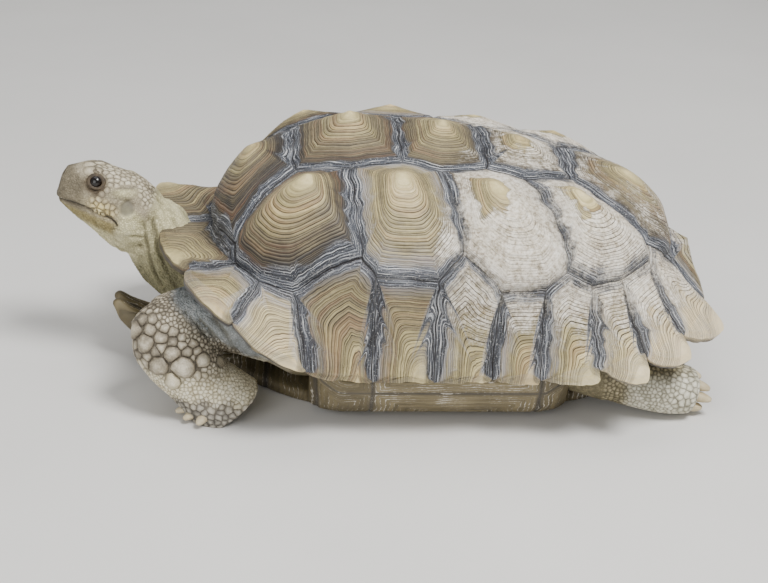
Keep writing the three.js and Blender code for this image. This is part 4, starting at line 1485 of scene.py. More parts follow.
def row_at(rows: Array, t: float) -> Array:
    """A row between entries of a list of number rows, on a smooth curve through them.

    Args:
        rows: the rows.
        t: place in the list.

    Returns:
        The row there.
    """
    i = int(min(max(math.floor(t), 0), len(rows) - 2))
    s = t - i
    pick = [rows[min(max(k, 0), len(rows) - 1)] for k in (i - 1, i, i + 1, i + 2)]
    m1, m2 = (pick[2] - pick[0]) / 2, (pick[3] - pick[1]) / 2
    s2, s3 = s * s, s * s * s
    leaving = (2 * s3 - 3 * s2 + 1) * pick[1] + (s3 - 2 * s2 + s) * m1
    return leaving + (3 * s2 - 2 * s3) * pick[2] + (s3 - s2) * m2


@dataclass
class Limb:
    """A rounded body along a row of sections. Millimetres.

    Attributes:
        rows: sections as x, y, z, half width and half height.
        across: rough direction of the width.
        power: squareness of a section.
        domes: how far the two ends bulge.
        sides: points in a section.
        steps: rings to a row.
        caps: size and travel of the rings of a bulging end, as shares.
    """

    rows: tuple
    across: Triple = (0.0, 1.0, 0.0)
    power: float = 2.3
    domes: tuple[float, float] = (0.5, 0.5)
    sides: int = 36
    steps: int = 6
    caps: tuple = ((0.2, 0.98), (0.45, 0.89), (0.65, 0.76), (0.82, 0.57), (0.94, 0.34))

    def mirrored(self, side: int) -> "Limb":
        """The same limb on the given side."""
        return replace(self, rows=tuple((x, y * side, *rest) for x, y, *rest in self.rows))

    def ring(self, t: float, scale: float = 1.0, shift: float = 0.0) -> Array:
        """The points of a section.

        Args:
            t: place along the rows.
            scale: its size.
            shift: travel beyond it, as a share of its smaller half size.

        Returns:
            The points.
        """
        rows = np.array(self.rows, float)
        here = row_at(rows, t)
        before, after = row_at(rows, max(t - 0.02, 0)), row_at(rows, min(t + 0.02, len(rows) - 1))
        along = unit(after[:3] - before[:3])
        hint = np.array(self.across, float)
        width = unit(hint - along * (hint @ along))
        angle = turns(self.sides)
        over = here[3] * scale * signed_power(np.cos(angle), 2 / self.power)
        rise = here[4] * scale * signed_power(np.sin(angle), 2 / self.power)
        middle = here[:3] + over[:, None] * width + rise[:, None] * np.cross(along, width)
        return middle + shift * min(here[3:]) * along

    def body(self) -> Body:
        """The closed surface of the limb.

        Returns:
            Its points and faces.
        """
        last = len(self.rows) - 1
        first_dome, last_dome = self.domes
        rings = [self.ring(0, scale, -shift * first_dome) for scale, shift in self.caps]
        rings += [self.ring(k / self.steps) for k in range(last * self.steps + 1)]
        rings += [self.ring(last, scale, shift * last_dome) for scale, shift in reversed(self.caps)]
        return ring_body(np.array(rings))


PAIRED_LIMBS = (
    Limb(((-168, 80, 76, 40, 36), (-205, 90, 86, 34, 31), (-238, 99, 92, 29, 25), (-262, 107, 90, 25, 22)),
         domes=(0.4, 0.7)),
    Limb(((-269, 107, 93, 27, 20), (-259, 113, 77, 37, 25), (-246, 118, 56, 36, 27), (-231, 121, 35, 30, 28),
          (-215, 121, 17, 33, 31), (-207, 120, 6, 38, 33)), across=(-0.85, 0, -0.5), domes=(0.7, 0.1)),
    Limb(((96, 78, 62, 42, 38), (130, 96, 50, 38, 34), (162, 108, 40, 31, 30)), domes=(0.4, 0.5)),
    Limb(((150, 104, 42, 30, 28), (185, 114, 34, 26, 27), (212, 118, 28, 26, 25), (234, 119, 24, 23, 21)),
         domes=(0.5, 0.4)),
)
NECK_TAIL_TRUNK = (
    Limb(((-294, 0, 150, 28, 28), (-277, 0, 132, 30, 34), (-258, 0, 106, 36, 36), (-230, 0, 90, 48, 42),
          (-195, 0, 82, 56, 46), (-165, 0, 80, 58, 46)), domes=(0.2, 0.2)),
    Limb(((176, 0, 60, 26, 24), (208, 3, 50, 20, 18), (236, 10, 40, 13, 12), (258, 19, 32, 7, 7)),
         domes=(0.2, 0.6)),
    Limb(((-190, 0, 92, 100, 80), (-165, 0, 99, 126, 93), (-135, 0, 105, 136, 99)),
         power=2.6, domes=(0.2, 0.1), sides=48),
    Limb(((118, 0, 106, 139, 88), (146, 0, 104, 126, 82), (178, 0, 98, 98, 70)),
         power=2.6, domes=(0.1, 0.3), sides=48),
)
# Root of each spur of a thigh, its radius and its length.
SPURS = ((176, 88, 44, 8, 18), (170, 84, 26, 7, 15), (184, 100, 52, 6, 12))


@dataclass
class HeadForm:
    """The head in its own frame: forward, across to the animal's left, and up. Millimetres.

    Attributes:
        at: the frame's origin in space.
        pitch: degrees that the head is raised.
        sections: station, top, bottom and half width.
        swellings: place, spread and height of each bulge.
        eye: place and radius of the eyeball.
        mouth: line of the mouth, as station and height.
        power: squareness of a section.
        sides: points in a section.
        steps: rings to a section.
    """

    at: Triple = (-280.0, 0.0, 158.0)
    pitch: float = 17.0
    sections: tuple = (
        (92, 7, -8, 7), (91, 12, -12, 12), (88, 17, -17.5, 15.5), (82, 21, -21, 18.5), (74, 25, -25.5, 21.5),
        (64, 27, -30, 25), (52, 27.5, -34.5, 29.5), (39, 27.5, -41, 33), (26, 26.5, -47, 35),
        (13, 23, -49, 34.5), (1, 17, -48, 31.5), (-9, 9, -42, 26), (-15, -2, -30, 14),
    )
    swellings: tuple = (
        (60, 17, 27, 9, 2.6), (72, 14, 22, 7, 1.2), (28, 31, 14, 11, 2), (24, 34, -16, 10, 2),
        (88, 6, 12, 5, 1.5), (40, 31, -14, 9, 1.5),
    )
    eye: tuple[float, float, float, float] = (59.0, 17.3, 17.0, 6.7)
    mouth: tuple = (
        (93, -13.9), (90, -13.5), (84, -11.5), (76, -9.3), (64, -8), (50, -8.4), (38, -8), (32, -10),
        (29, -13),
    )
    power: float = 2.35
    sides: int = 64
    steps: int = 6

    def turn(self) -> Array:
        """The head's directions in space, as columns forward, across and up."""
        c, s = math.cos(math.radians(self.pitch)), math.sin(math.radians(self.pitch))
        return np.array([[-c, 0, s], [0, -1, 0], [s, 0, c]])

    def out(self, local: Array) -> Array:
        """Points of the head's frame in space."""
        return local @ self.turn().T + np.array(self.at)

    def into(self, points: Array) -> Array:
        """Points in space in the head's frame."""
        return (points - np.array(self.at)) @ self.turn()

    def body(self) -> Body:
        """The closed surface of the head.

        Returns:
            Its points in space, and its faces.
        """
        rows, full = np.array(self.sections, float), np.ones(self.sides)
        rings = []
        for k in range((len(rows) - 1) * self.steps + 1):
            forward, top, bottom, half = row_at(rows, k / self.steps)
            up = signed_power(np.sin(-turns(self.sides)), 2 / self.power)
            taper = np.where(up < 0, 1 - 0.22 * up * up, 1 - 0.06 * up * up)
            y = half * taper * signed_power(np.cos(turns(self.sides)), 2 / self.power)
            points = np.stack([full * forward, y, (top + bottom) / 2 + (top - bottom) / 2 * up], axis=-1)
            swell = np.zeros(self.sides)
            for ahead, wide, high, spread, height in self.swellings:
                offset = points - np.stack([full * ahead, np.sign(y) * wide, full * high], axis=-1)
                swell += height * bell(np.linalg.norm(offset, axis=-1), spread)
            away = unit(np.stack([full * 0, y / half, up], axis=-1))
            rings.append(points + away * swell[:, None])
        verts, faces = ring_body(np.array(rings))
        return self.out(verts), faces


# Creases of the loose skin on the left side: points in space, depth and half width, in millimetres.
FOLDS = (
    (((-286, -31, 154), (-285, -30, 143), (-283, -30, 123), (-277, -31, 102), (-268, -30, 84)), 3.2, 2.0),
    (((-277, -26, 156), (-276, -29, 141), (-272, -31, 123), (-264, -33, 105), (-255, -37, 90)), 3.2, 2.0),
    (((-270, -28, 150), (-262, -29, 131), (-253, -34, 116), (-244, -38, 98)), 2.8, 2.0),
    (((-336, -25, 155), (-326, -30, 150), (-313, -36, 150), (-300, -34, 148), (-290, -33, 149)), 1.2, 1.4),
    (((-332, -25, 150), (-321, -29, 144), (-307, -33, 143), (-294, -34, 142), (-287, -31, 140)), 1.6, 1.5),
    (((-325, -26, 144), (-314, -28, 135), (-301, -27, 130), (-289, -29, 130)), 1.6, 1.6),
    (((-317, -21, 129), (-307, -18, 121), (-296, -23, 119), (-287, -27, 119)), 1.6, 1.6),
    (((-306, -16, 112), (-299, -14, 107), (-288, -24, 105), (-281, -26, 100)), 1.6, 1.8),
    (((-295, -17, 102), (-287, -19, 92), (-278, -24, 80)), 1.8, 1.8),
    (((-282, -4, 181), (-276, -8, 174), (-270, -14, 164), (-266, -20, 152)), 1.2, 1.5),
    (((-288, -29, 164), (-281, -26, 162), (-274, -20, 162)), 1.0, 1.3),
    (((-292, -33, 156), (-284, -31, 156), (-276, -27, 160)), 1.2, 1.3),
    (((-230, -126, 99), (-219, -125, 86), (-208, -119, 69)), 2.6, 2.0),
    (((-242, -124, 106), (-228, -128, 90), (-217, -129, 72), (-210, -127, 56)), 2.4, 1.8),
    (((-217, -124, 100), (-206, -124, 84), (-195, -114, 60)), 2.6, 2.2),
    (((-252, -118, 112), (-238, -125, 100), (-226, -130, 84), (-216, -131, 66)), 1.4, 1.3),
    (((-258, -110, 114), (-242, -117, 110), (-226, -120, 98), (-212, -120, 80)), 1.4, 1.3),
)
# How far each mark of the face moves the skin out, in millimetres.
FACE_RELIEF = {
    "mouth": -2.6, "lip": 0.9, "chin": -0.4, "ear": -2.2, "ear_rim": 0.8, "temple": 3.0, "orbit": -1.0,
    "brow": 1.4, "nostril": -2.4, "socket": -5.0, "fold": -1.5,
}


def below_collar(x: Array, z: Array) -> Array:
    """How far points lie below the line where the fore leg's scales end, in millimetres."""
    return (117 - 0.87 * (x + 262) - z) * 0.75


@dataclass
class Skin:
    """One skin over head, neck, limbs, feet, tail and the trunk's two ends.

    Attributes:
        head: the head's form.
        voxel: size of the skin's faces in millimetres.
        limit: number of triangles that it may have.
    """

    head: HeadForm = field(default_factory=HeadForm)
    voxel: float = 1.7
    limit: float = 188000

    def bodies(self) -> list[Body]:
        """The closed bodies that the skin wraps."""
        limbs = [limb.mirrored(side.value) for side in Side for limb in PAIRED_LIMBS]
        return [self.head.body(), *[limb.body() for limb in (*NECK_TAIL_TRUNK, *limbs)]]

    def face(self, local: Array) -> dict[str, Array]:
        """The marks of the face.

        Args:
            local: points in the head's frame.

        Returns:
            Masks of 0 to 1 by name.
        """
        path = np.array(self.head.mouth, float)
        eye_x, _, eye_z, _ = self.head.eye
        forward, side, up = local[:, 0], np.abs(local[:, 1]), local[:, 2]
        over = up - np.interp(forward, path[::-1, 0], path[::-1, 1])
        ear = np.hypot((forward - 24.6) / 0.94, up - 5.4) + 0.5 * Ripple(57, 3).at(local, 6.0)
        outer, near_front = side > 15, smooth((forward - 34) / 20)
        bulge = up - 16.6 + 0.2 * (forward - 31)
        nostril = np.stack([forward - 91.0, side - 4.8, up - 11.6], -1)
        return {
            "mouth": bell(to_path(local[:, [0, 2]], path), 1.15) * (forward > 27),
            "lip": bell(over - 3.2, 2.6) * near_front,
            "chin": bell(over + 3.0, 2.4) * near_front,
            "ear": smooth((8.8 - ear) / 2.2) * outer,
            "ear_rim": bell(ear - 9.4, 1.5) * outer,
            "temple": bell(forward - 31, 10.5) * bell(bulge, 3.4) * outer,
            "fold": (bell(bulge - 4.6) + 0.7 * bell(bulge + 4.2)) * outer
            * smooth((44 - forward) / 5) * smooth((forward - 17) / 5),
            "socket": smooth((6.4 - np.hypot(forward - eye_x, up - eye_z)) / 2.0) * (side > 9),
            "orbit": bell(np.hypot((forward - eye_x) / 1.3, up - eye_z) - 7.6, 2.4) * (side > 9),
            "brow": bell(forward - eye_x, 11) * bell(up - 27, 3.4) * (side > 7),
            "nostril": bell(np.linalg.norm(nostril, axis=-1), 2.3),
        }

    def regions(self, points: Array, local: Array, in_head: Array) -> dict[str, Array]:
        """The regions of the hide that differ in tone.

        Args:
            points: points in space.
            local: the same in the head's frame.
            in_head: how far each belongs to the head.

        Returns:
            Masks of 0 to 1 by name.
        """
        x, y, z = points.T
        forward, across, up = local.T
        wide = np.abs(y)
        below = smooth((np.interp(forward, [27, 100], [-8.4, -14]) - up) / 5)
        leg = smooth((wide - 58) / 8) * smooth((-140 - x) / 20)
        near_neck = (1 - in_head) * smooth((-205 - x) / 20) * smooth((70 - wide) / 15) * smooth((z - 20) / 12)
        low = z + 4.0 * Ripple(85, 3).at(points, 16.0)
        cheek = bell(forward - 47, 13) * bell(up + 2.5, 6.5) * (np.abs(across) > 12)
        eye_at = np.hypot((forward - self.head.eye[0]) / 1.12, up - self.head.eye[2] + 0.5)
        round_eye = np.maximum(eye_at - 7.0 + 0.9 * Ripple(83, 3).at(local, 5.0), 0)
        behind = smooth((34 - forward) / 10) * smooth((12 - up + (forward - 24) * 0.5) / 8)
        pale = np.maximum(behind, smooth((-22 - up) / 8)) + 0.95 * self.face(local)["temple"]
        return {
            "head": in_head,
            "snout": in_head * smooth((forward - 58) / 14) * (1 - below)
            * smooth((21 - up + (forward - 70) * 0.4) / 9),
            "cheek": in_head * cheek,
            "jaw": in_head * below * smooth((forward - 24) / 10),
            "neck": near_neck,
            "throat": np.clip(near_neck * smooth((z - 92) / 62) + in_head * pale, 0, 1)
            * (1 - 0.7 * in_head * cheek),
            "lid": in_head * bell(round_eye, 4.0) * (np.abs(across) > 9) * (up < 27),
            "arm": leg,
            "shoulder": leg * smooth((3 - below_collar(x, z)) / 9) * smooth((z - 36) / 12),
            "wrist": leg * smooth((60 - low) / 20) * smooth((low - 16) / 14),
            "foot": leg * smooth((30 - low) / 16),
            "heel": smooth((x - 165) / 15) * smooth((wide - 50) / 10) * smooth((52 - z) / 10),
        }

    def folds(self, points: Array) -> Array:
        """The creases of the loose skin.

        Args:
            points: points in space.

        Returns:
            How far each is drawn in, in millimetres.
        """
        points = points * np.where(points[:, 1:2] > 0, [1.0, -1.0, 1.0], 1.0)
        depth = np.zeros(len(points))
        for path, deep, half in FOLDS:
            away = to_path(points, np.array(path, float))
            ridge = 0.5 * deep * bell(away - 2.4 * half, half) * (depth < 0.5)
            depth = np.maximum(depth - ridge, deep * bell(away, half))
        return depth

    def build(self, hide: Material) -> Object:
        """Builds the skin, undressed where scales are still to be laid on it.

        Args:
            hide: its finish.

        Returns:
            The skin.
        """
        obj = mesh_object("skin", *joined(self.bodies()))
        remeshed(obj, self.voxel, 2)
        points, normal = points_of(obj), numbers(obj.data.vertices, "normal", 3)
        points[:, 2] = np.maximum(points[:, 2], 0.05)
        local = self.head.into(points)
        in_head = smooth((local[:, 0] + 8) / 16) * smooth((local[:, 2] + 66) / 34)
        face = {name: mask * in_head for name, mask in self.face(local).items()}
        regions = self.regions(points, local, in_head)
        ripple = Ripple(31, 3).at(points * np.array([1.0, 1.6, 0.45]), 15.0)
        fine = Ripple(33, 3, 14).at(points * np.array([1.0, 1.3, 0.7]), 6.0)
        flow = unit(np.array([0.45, 0.0, -1.0]))
        pleats = Ripple(35, 3, 14).at(points - 0.93 * (points @ flow)[:, None] * flow, 5.4)
        loose = np.clip(regions["neck"] + 0.5 * regions["throat"] + 0.7 * regions["shoulder"], 0, 1)
        drawn = self.folds(points)
        move = sum(height * face[name] for name, height in FACE_RELIEF.items())
        move = move - drawn + loose * (0.3 * ripple + 0.1 * fine + 0.95 * pleats)
        move_points(obj, points + normal * move[:, None])
        # Masks of painted shade in the openings and creases, and of a painted highlight on the fold ridges.
        opening = face["mouth"] + face["nostril"] + face["socket"] + 0.45 * face["fold"]
        crease_shade_mask = np.maximum(drawn, 0) / 2.4 + 0.5 * loose * smooth((-pleats - 0.35) / 0.8)
        marks = {"dark": opening, "crease": crease_shade_mask, "ear": face["ear"], "ridge": -drawn / 0.9, **regions}
        for name, mask in marks.items():
            put_values(obj, name, np.clip(mask, 0, 1))
        dress(obj, hide)
        return obj

    def finish(self, obj: Object) -> Object:
        """Thins the skin away from the head and hides the CAD nodes it stands for.

        Args:
            obj: the skin, with all that lies on it already laid.

        Returns:
            The piece.
        """
        head = numbers(obj.data.attributes["head"].data, "value", kind=np.float32)
        obj.vertex_groups.new(name="thinned").add(np.nonzero(head < 0.5)[0].tolist(), 1.0, "REPLACE")
        thin = obj.modifiers.new("thin", "DECIMATE")
        thin.vertex_group = "thinned"
        thin.ratio = self.limit / sum(len(face.vertices) - 2 for face in obj.data.polygons)
        plain_copy(obj)
        obj.vertex_groups.clear()
        limbs = ("upper_arm", "forearm", "forefoot", "hindleg", "hindfoot")
        paired = [f"{limb}_{side.word}" for limb in limbs for side in Side]
        return settle(obj, "skin", "head", "jaw", "neck", "tail", *paired)


@dataclass
class BellyPlates:
    """The belly shell with its forked front, rounded and with growth lines. Millimetres.

    Attributes:
        voxel: size of its faces.
        softening: rounds of softening.
        seams: where the cross seams lie.
        middle: where the long seam lies.
        bridge: height and width together where the seam to the rim lies.
        ring: mean width of a growth ring.
    """

    voxel: float = 2.1
    softening: int = 18
    seams: tuple = (-330.0, -168.0, -122.0, -72.0, 84.0, 146.0, 230.0)
    middle: float = -4.0
    bridge: float = 205.0
    ring: float = 4.2

    def build(self, horn: Material) -> Object:
        """Builds and dresses the piece.

        Args:
            horn: its finish.

        Returns:
            The piece.
        """
        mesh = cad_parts["plastron"].data.copy()
        shell = bmesh.new()
        shell.from_mesh(mesh)
        bmesh.ops.remove_doubles(shell, verts=shell.verts, dist=0.00002)
        shell.to_mesh(mesh)
        shell.free()
        obj = linked("belly_plates", mesh)
        remeshed(obj, self.voxel, self.softening)
        points, normal = points_of(obj), numbers(obj.data.vertices, "normal", 3)
        x, y, z = points.T
        wave = 1.6 * Ripple(61, 3).at(points, 26.0)
        seams = np.array(self.seams)
        away = np.min(np.abs(x[:, None] + wave[:, None] - seams[None, 1:-1]), axis=1)
        away = np.minimum(away, np.abs(y - self.middle + wave))
        outer = np.abs(np.abs(y) + 0.9 * z - self.bridge)
        away = np.where(x < -200, away, np.minimum(away, outer))
        band = away / self.ring + 0.25 * Ripple(62, 3).at(points, 12.0)
        phase = band - np.floor(band)
        sunk = 1 - smooth(np.minimum(phase, 1 - phase) / 0.3)
        move = (-0.3 * sunk * smooth(away / 3.0) - 0.9 * (1 - smooth(away / 2.6))) * smooth(z / 3.0)
        moved = points + normal * move[:, None]
        moved[:, 2] = np.maximum(moved[:, 2], 0.0)
        move_points(obj, moved)
        put_values(obj, "band", band + 60.0 * (np.searchsorted(seams, x) + 10 * (y > self.middle)))
        put_values(obj, "seam", away)
        return settle(obj, "belly_shell", "plastron", finish=horn)


# ------------------------------------------------------------------ scales and pebbles


# Large scales of the left fore leg: place in space and spacing, in millimetres.
BIG_SCALES = (
    (-292, -124, 88, 17), (-280.5, -131.7, 78.1, 18), (-268.0, -140.3, 59.4, 18),
    (-254.1, -145.0, 45.4, 17), (-244.0, -144.8, 60.3, 22), (-255.2, -141.0, 73.1, 15),
    (-264.8, -135.5, 85.0, 12), (-275.3, -129.4, 90.1, 11), (-264.8, -138.3, 76.7, 9),
    (-253.7, -138.4, 82.4, 10), (-240.6, -141.3, 74.1, 11), (-226.8, -141.6, 65.3, 15),
    (-211.6, -129.9, 58.7, 13), (-245.7, -139.6, 79.8, 9), (-253.8, -135.2, 90.2, 9),
    (-245.7, -137.3, 86.0, 8), (-282.9, -122.0, 96.3, 10), (-272.4, -126.0, 98.2, 9),
    (-261.9, -132.5, 92.8, 9), (-235.7, -138.2, 80.4, 9), (-231.2, -139.6, 73.9, 8),
)
# Rings of a scale from rim to crown: share of its outline, lift, and how near the edge it is.
SCALE_RINGS = ((1.0, -0.2, 1.0), (0.97, 0.35, 0.95), (0.78, 0.7, 0.7), (0.4, 0.96, 0.35))


@dataclass(frozen=True)
class ScaleForm:
    """How the scales of a field are shaped.

    Attributes:
        height: height as a share of the spacing.
        tilt: how far the lower edge stands up, as a share of the width.
        gap: groove between neighbours, in millimetres.
        shade: how much painted shade darkens the skin between them.
    """

    height: float
    tilt: float
    gap: float
    shade: float | Array


HIND_SCALES = ScaleForm(0.12, 0.14, 0.22, 0.36)
TAIL_SCALES = ScaleForm(0.12, 0.06, 0.35, 0.6)
CROWN_SCALES = ScaleForm(0.05, 0.0, 0.26, 0.62)


@dataclass
class ScaleField:
    """Horny scales side by side on the skin, each a low many-sided dome.

    Attributes:
        skin: the skin's object.
        seed: seed of the sowing.
        patch: size of a scale's patch on the bake map.
        cell: size of the boxes that neighbours are looked for in, in millimetres.
        lie: the way the scales hang.
    """

    skin: Object
    seed: int = 5
    patch: float = 0.003
    cell: float = 12.0
    lie: Triple = (0.25, 0.0, -1.0)

    def __post_init__(self) -> None:
        """Reads the skin and lays its unwrap."""
        self.points, self.normals = points_of(self.skin), numbers(self.skin.data.vertices, "normal", 3)
        self.masks = {name: self.read(name) for name in REGION_TONES}
        self.unwrap = self.unwrapped()
        self.sown = np.zeros(len(self.points))

    def read(self, name: str) -> Array:
        """A named number of the skin."""
        return numbers(self.skin.data.attributes[name].data, "value", kind=np.float32)

    def unwrapped(self) -> Array:
        """An unwrap of the skin.

        Returns:
            The place on it of each of the skin's points.
        """
        bpy.ops.object.select_all(action="DESELECT")
        self.skin.select_set(True)
        bpy.context.view_layer.objects.active = self.skin
        bpy.ops.object.mode_set(mode="EDIT")
        bpy.ops.mesh.select_all(action="SELECT")
        bpy.ops.uv.smart_project(angle_limit=math.radians(66), island_margin=0.002)
        bpy.ops.object.mode_set(mode="OBJECT")
        mesh = self.skin.data
        made = np.zeros((len(self.points), 2))
        corner = numbers(mesh.loops, "vertex_index", kind=np.int32)
        made[corner] = numbers(mesh.uv_layers.active.data, "uv", 2, np.float32)
        mesh.uv_layers.remove(mesh.uv_layers.active)
        return made

    def mark(self, obj: Object, roots: Array) -> None:
        """Gives a piece the regions and the bake map of the skin under each scale.

        Args:
            obj: the piece.
            roots: the skin's point under each of the piece's points.
        """
        for name in REGION_TONES:
            put_values(obj, name, self.masks[name][roots])
        layer = obj.data.uv_layers.new(name="OFBake")
        corner = numbers(obj.data.loops, "vertex_index", kind=np.int32)
        offset = (points_of(obj) - self.points[roots]) / 12.0
        turn = np.stack([offset[:, 0] + offset[:, 1], offset[:, 2] + 0.5 * offset[:, 1]], axis=-1)
        place = self.unwrap[roots] + np.clip(turn, -0.5, 0.5) * self.patch
        layer.data.foreach_set("uv", place[corner].astype(np.float32).ravel())

    def sow(self, spacing: Array, fixed: list[tuple[int, float]]) -> tuple[list[int], list[float]]:
        """Sows scales over the skin so that neighbours keep their spacing.

        Args:
            spacing: spacing wanted at each point, 0 for none.
            fixed: indices and spacings that come first.

        Returns:
            The chosen indices and their spacings.
        """
        order = np.random.default_rng(self.seed).permutation(np.nonzero(spacing > 0)[0])
        offers = [(*pair, True) for pair in fixed] + [(int(i), float(spacing[i]), False) for i in order]
        boxes: dict[tuple, list[int]] = {}
        chosen, sizes, places = [], [], []
        steps = [(dx, dy, dz) for dx in (-1, 0, 1) for dy in (-1, 0, 1) for dz in (-1, 0, 1)]
        for index, size, always in offers:
            p = self.points[index]
            x, y, z = (int(v) for v in np.floor(p / self.cell))
            near = [k for dx, dy, dz in steps for k in boxes.get((x + dx, y + dy, z + dz), ())]
            if near and not always:
                gaps = np.linalg.norm(np.array([places[k] for k in near]) - p, axis=1)
                if np.any(gaps < 0.5 * (np.array([sizes[k] for k in near]) + size) * 0.9):
                    continue
            boxes.setdefault((x, y, z), []).append(len(chosen))
            chosen.append(index)
            sizes.append(size)
            places.append(p)
        return chosen, sizes

    @staticmethod
    def clipped(polygon: Array, way: Array, reach: float) -> Array:
        """The part of a convex polygon within a distance along a direction.

        Args:
            polygon: its corners.
            way: the direction.
            reach: the distance.

        Returns:
            The corners of the part, none where nothing is left.
        """
        over = polygon @ way - reach
        if np.all(over <= 0):
            return polygon
        kept = []
        for a, b, oa, ob in zip(polygon, np.roll(polygon, -1, axis=0), over, np.roll(over, -1)):
            if oa <= 0:
                kept.append(a)
            if (oa <= 0) != (ob <= 0):
                kept.append(a + (b - a) * oa / (oa - ob))
        return np.array(kept) if len(kept) > 2 else polygon[:0]

    def outline(self, size: float, flats: Array, others: Array, gap: float) -> Array:
        """A scale's outline among its neighbours, its corners cut.

        Args:
            size: its spacing.
            flats: the neighbours' places round it.
            others: their spacings.
            gap: groove between neighbours.

        Returns:
            Its corners, fewer than 3 where there is no room.
        """
        polygon = 0.8 * size * np.stack([np.cos(turns(12)), np.sin(turns(12))], -1)
        for flat, other in zip(flats, others):
            length = np.linalg.norm(flat)
            if length > 1e-6:
                polygon = self.clipped(polygon, flat / length, length * size / (size + other) - gap / 2)
            if len(polygon) < 3:
                return polygon
        nxt = np.roll(polygon, -1, axis=0)
        cut = np.concatenate([0.8 * polygon + 0.2 * nxt, 0.2 * polygon + 0.8 * nxt], axis=1).reshape(-1, 2)
        return cut[::2] if len(cut) > 14 else cut

    def lay(
        self, name: str, spacing: Array, form: ScaleForm, finish: Material, fixed: tuple | list = (),
    ) -> Object:
        """Lays a field of scales on the skin as one piece.

        Args:
            name: name of the piece.
            spacing: spacing wanted at each of the skin's points, 0 for none.
            form: shape of the scales.
            finish: their finish.
            fixed: indices and spacings that come first.

        Returns:
            The piece.
        """
        chosen, sizes = self.sow(spacing, list(fixed))
        # The skin under each field gets painted shade, seen in the gaps between its scales.
        self.sown = np.maximum(self.sown, form.shade * (spacing > 0))
        spots, outs, size = self.points[chosen], self.normals[chosen], np.array(sizes)
        rng = np.random.default_rng(self.seed + 1)
        tree = BVHTree.FromObject(self.skin, bpy.context.evaluated_depsgraph_get())
        lie = np.array(self.lie)
        bodies, tone, edge, roots = [], [], [], []
        for root, spot, out, own in zip(chosen, spots, outs, size):
            offsets = spots - spot
            far = np.linalg.norm(offsets, axis=1)
            near = np.nonzero((far > 0) & (far < 1.6 * (own + size) / 2) & (outs @ out > 0.2))[0]
            down = unit(lie - out * (lie @ out))
            over = np.cross(out, down)
            flats = np.stack([offsets[near] @ over, offsets[near] @ down], axis=-1)
            polygon = self.outline(own, flats, size[near], form.gap)
            if len(polygon) < 3:
                continue
            rim = spot + polygon[:, :1] * over + polygon[:, 1:] * down
            rim = np.array([np.array(tree.find_nearest(Vector(p * MM))[0]) / MM for p in rim])
            lean = form.tilt * np.maximum(polygon[:, 1], 0)
            high = form.height * own * (0.85 + 0.75 * float(smooth((own - 7) / 7)))
            count = len(rim)
            rings = [
                spot + share * (rim - spot) + out * (high * lift + lean * share * (lift > 0))[:, None]
                for share, lift, _ in SCALE_RINGS]
            ends = np.stack([spot + out * high * 1.12, rim.mean(0) - out * 0.3 * high])
            fans = zip(fan(4 * count, 3 * count, count), fan(4 * count + 1, 0, count, True))
            faces = np.roll(grid_faces(4, count)[:, ::-1], 1, axis=1).tolist()
            faces += [[a, middle, b] for middle, a, b in (face for pair in fans for face in pair)]
            bodies.append((np.concatenate([*rings, ends]), faces))
            edge += [np.repeat([e for *_, e in SCALE_RINGS], count), np.array([0.0, 1.0])]
            tone.append(np.full(4 * count + 2, rng.random()))
            roots.append(np.full(4 * count + 2, root))
        obj = mesh_object(name, *joined(bodies))
        put_values(obj, "tone", np.concatenate(tone))
        put_values(obj, "edge", np.concatenate(edge))
        self.mark(obj, np.concatenate(roots))
        return settle(obj, "scaled_skin", finish=finish)

    def nearest(self, side: Side) -> list[tuple[int, float]]:
        """The skin's points nearest to the large scales of one fore leg.

        Args:
            side: the leg's side.

        Returns:
            Their indices and spacings.
        """
        made = []
        for x, y, z, size in BIG_SCALES:
            away = np.linalg.norm(self.points - np.array([x, -side.value * y, z]), axis=1)
            made.append((int(np.argmin(away)), float(size)))
        return made

    def build(self, head: HeadForm, horn: Material, crown: Material) -> list[Object]:
        """Covers legs, feet, tail and head.

        Args:
            head: the head's form.
            horn: finish of the scales of the legs.
            crown: finish of the scales of the head.

        Returns:
            The pieces.
        """
        x, y, z = self.points.T
        collar = below_collar(x, z)
        made = []
        for side in Side:
            outer = (y * side.value > 62) & (z > 0.8)
            arm = outer & (x < -176) & (collar > -2.0 + 3.0 * Ripple(61, 3).at(self.points, 12.0))
            arm &= ~((np.abs(y) < 84) & (z > 60))
            facing = self.normals @ unit(np.array([-0.75, side.value * 0.55, -0.1]))
            size = 3.2 + 5.0 * smooth((collar - 3) / 34) * smooth((facing + 0.2) / 0.8)
            size = np.where(z < 23, 5.6, np.where(z < 50, 3.1, size))
            form = ScaleForm(0.15, 0.13, 0.22, np.where(z < 52, 0.3, 0.6))
            made.append(self.lay(
                f"foreleg_scales_{side.word}", np.where(arm, size, 0.0), form, horn, self.nearest(side)))
            hind = np.where(outer & (x > 150) & (z < 66), 3.6 + 2.0 * smooth((x - 205) / 25), 0.0)
            made.append(self.lay(f"hindleg_scales_{side.word}", hind, HIND_SCALES, horn))
        tail = np.where((np.abs(y) < 48) & (x > 206) & (z < 75), 4.6, 0.0)
        made.append(self.lay("tail_scales", tail, TAIL_SCALES, horn))
        made.append(self.lay("head_scales", self.crown_spacing(head), CROWN_SCALES, crown))
        # Stores on the skin the painted shade between the scales.
        put_values(self.skin, "sown", self.sown)
        return made

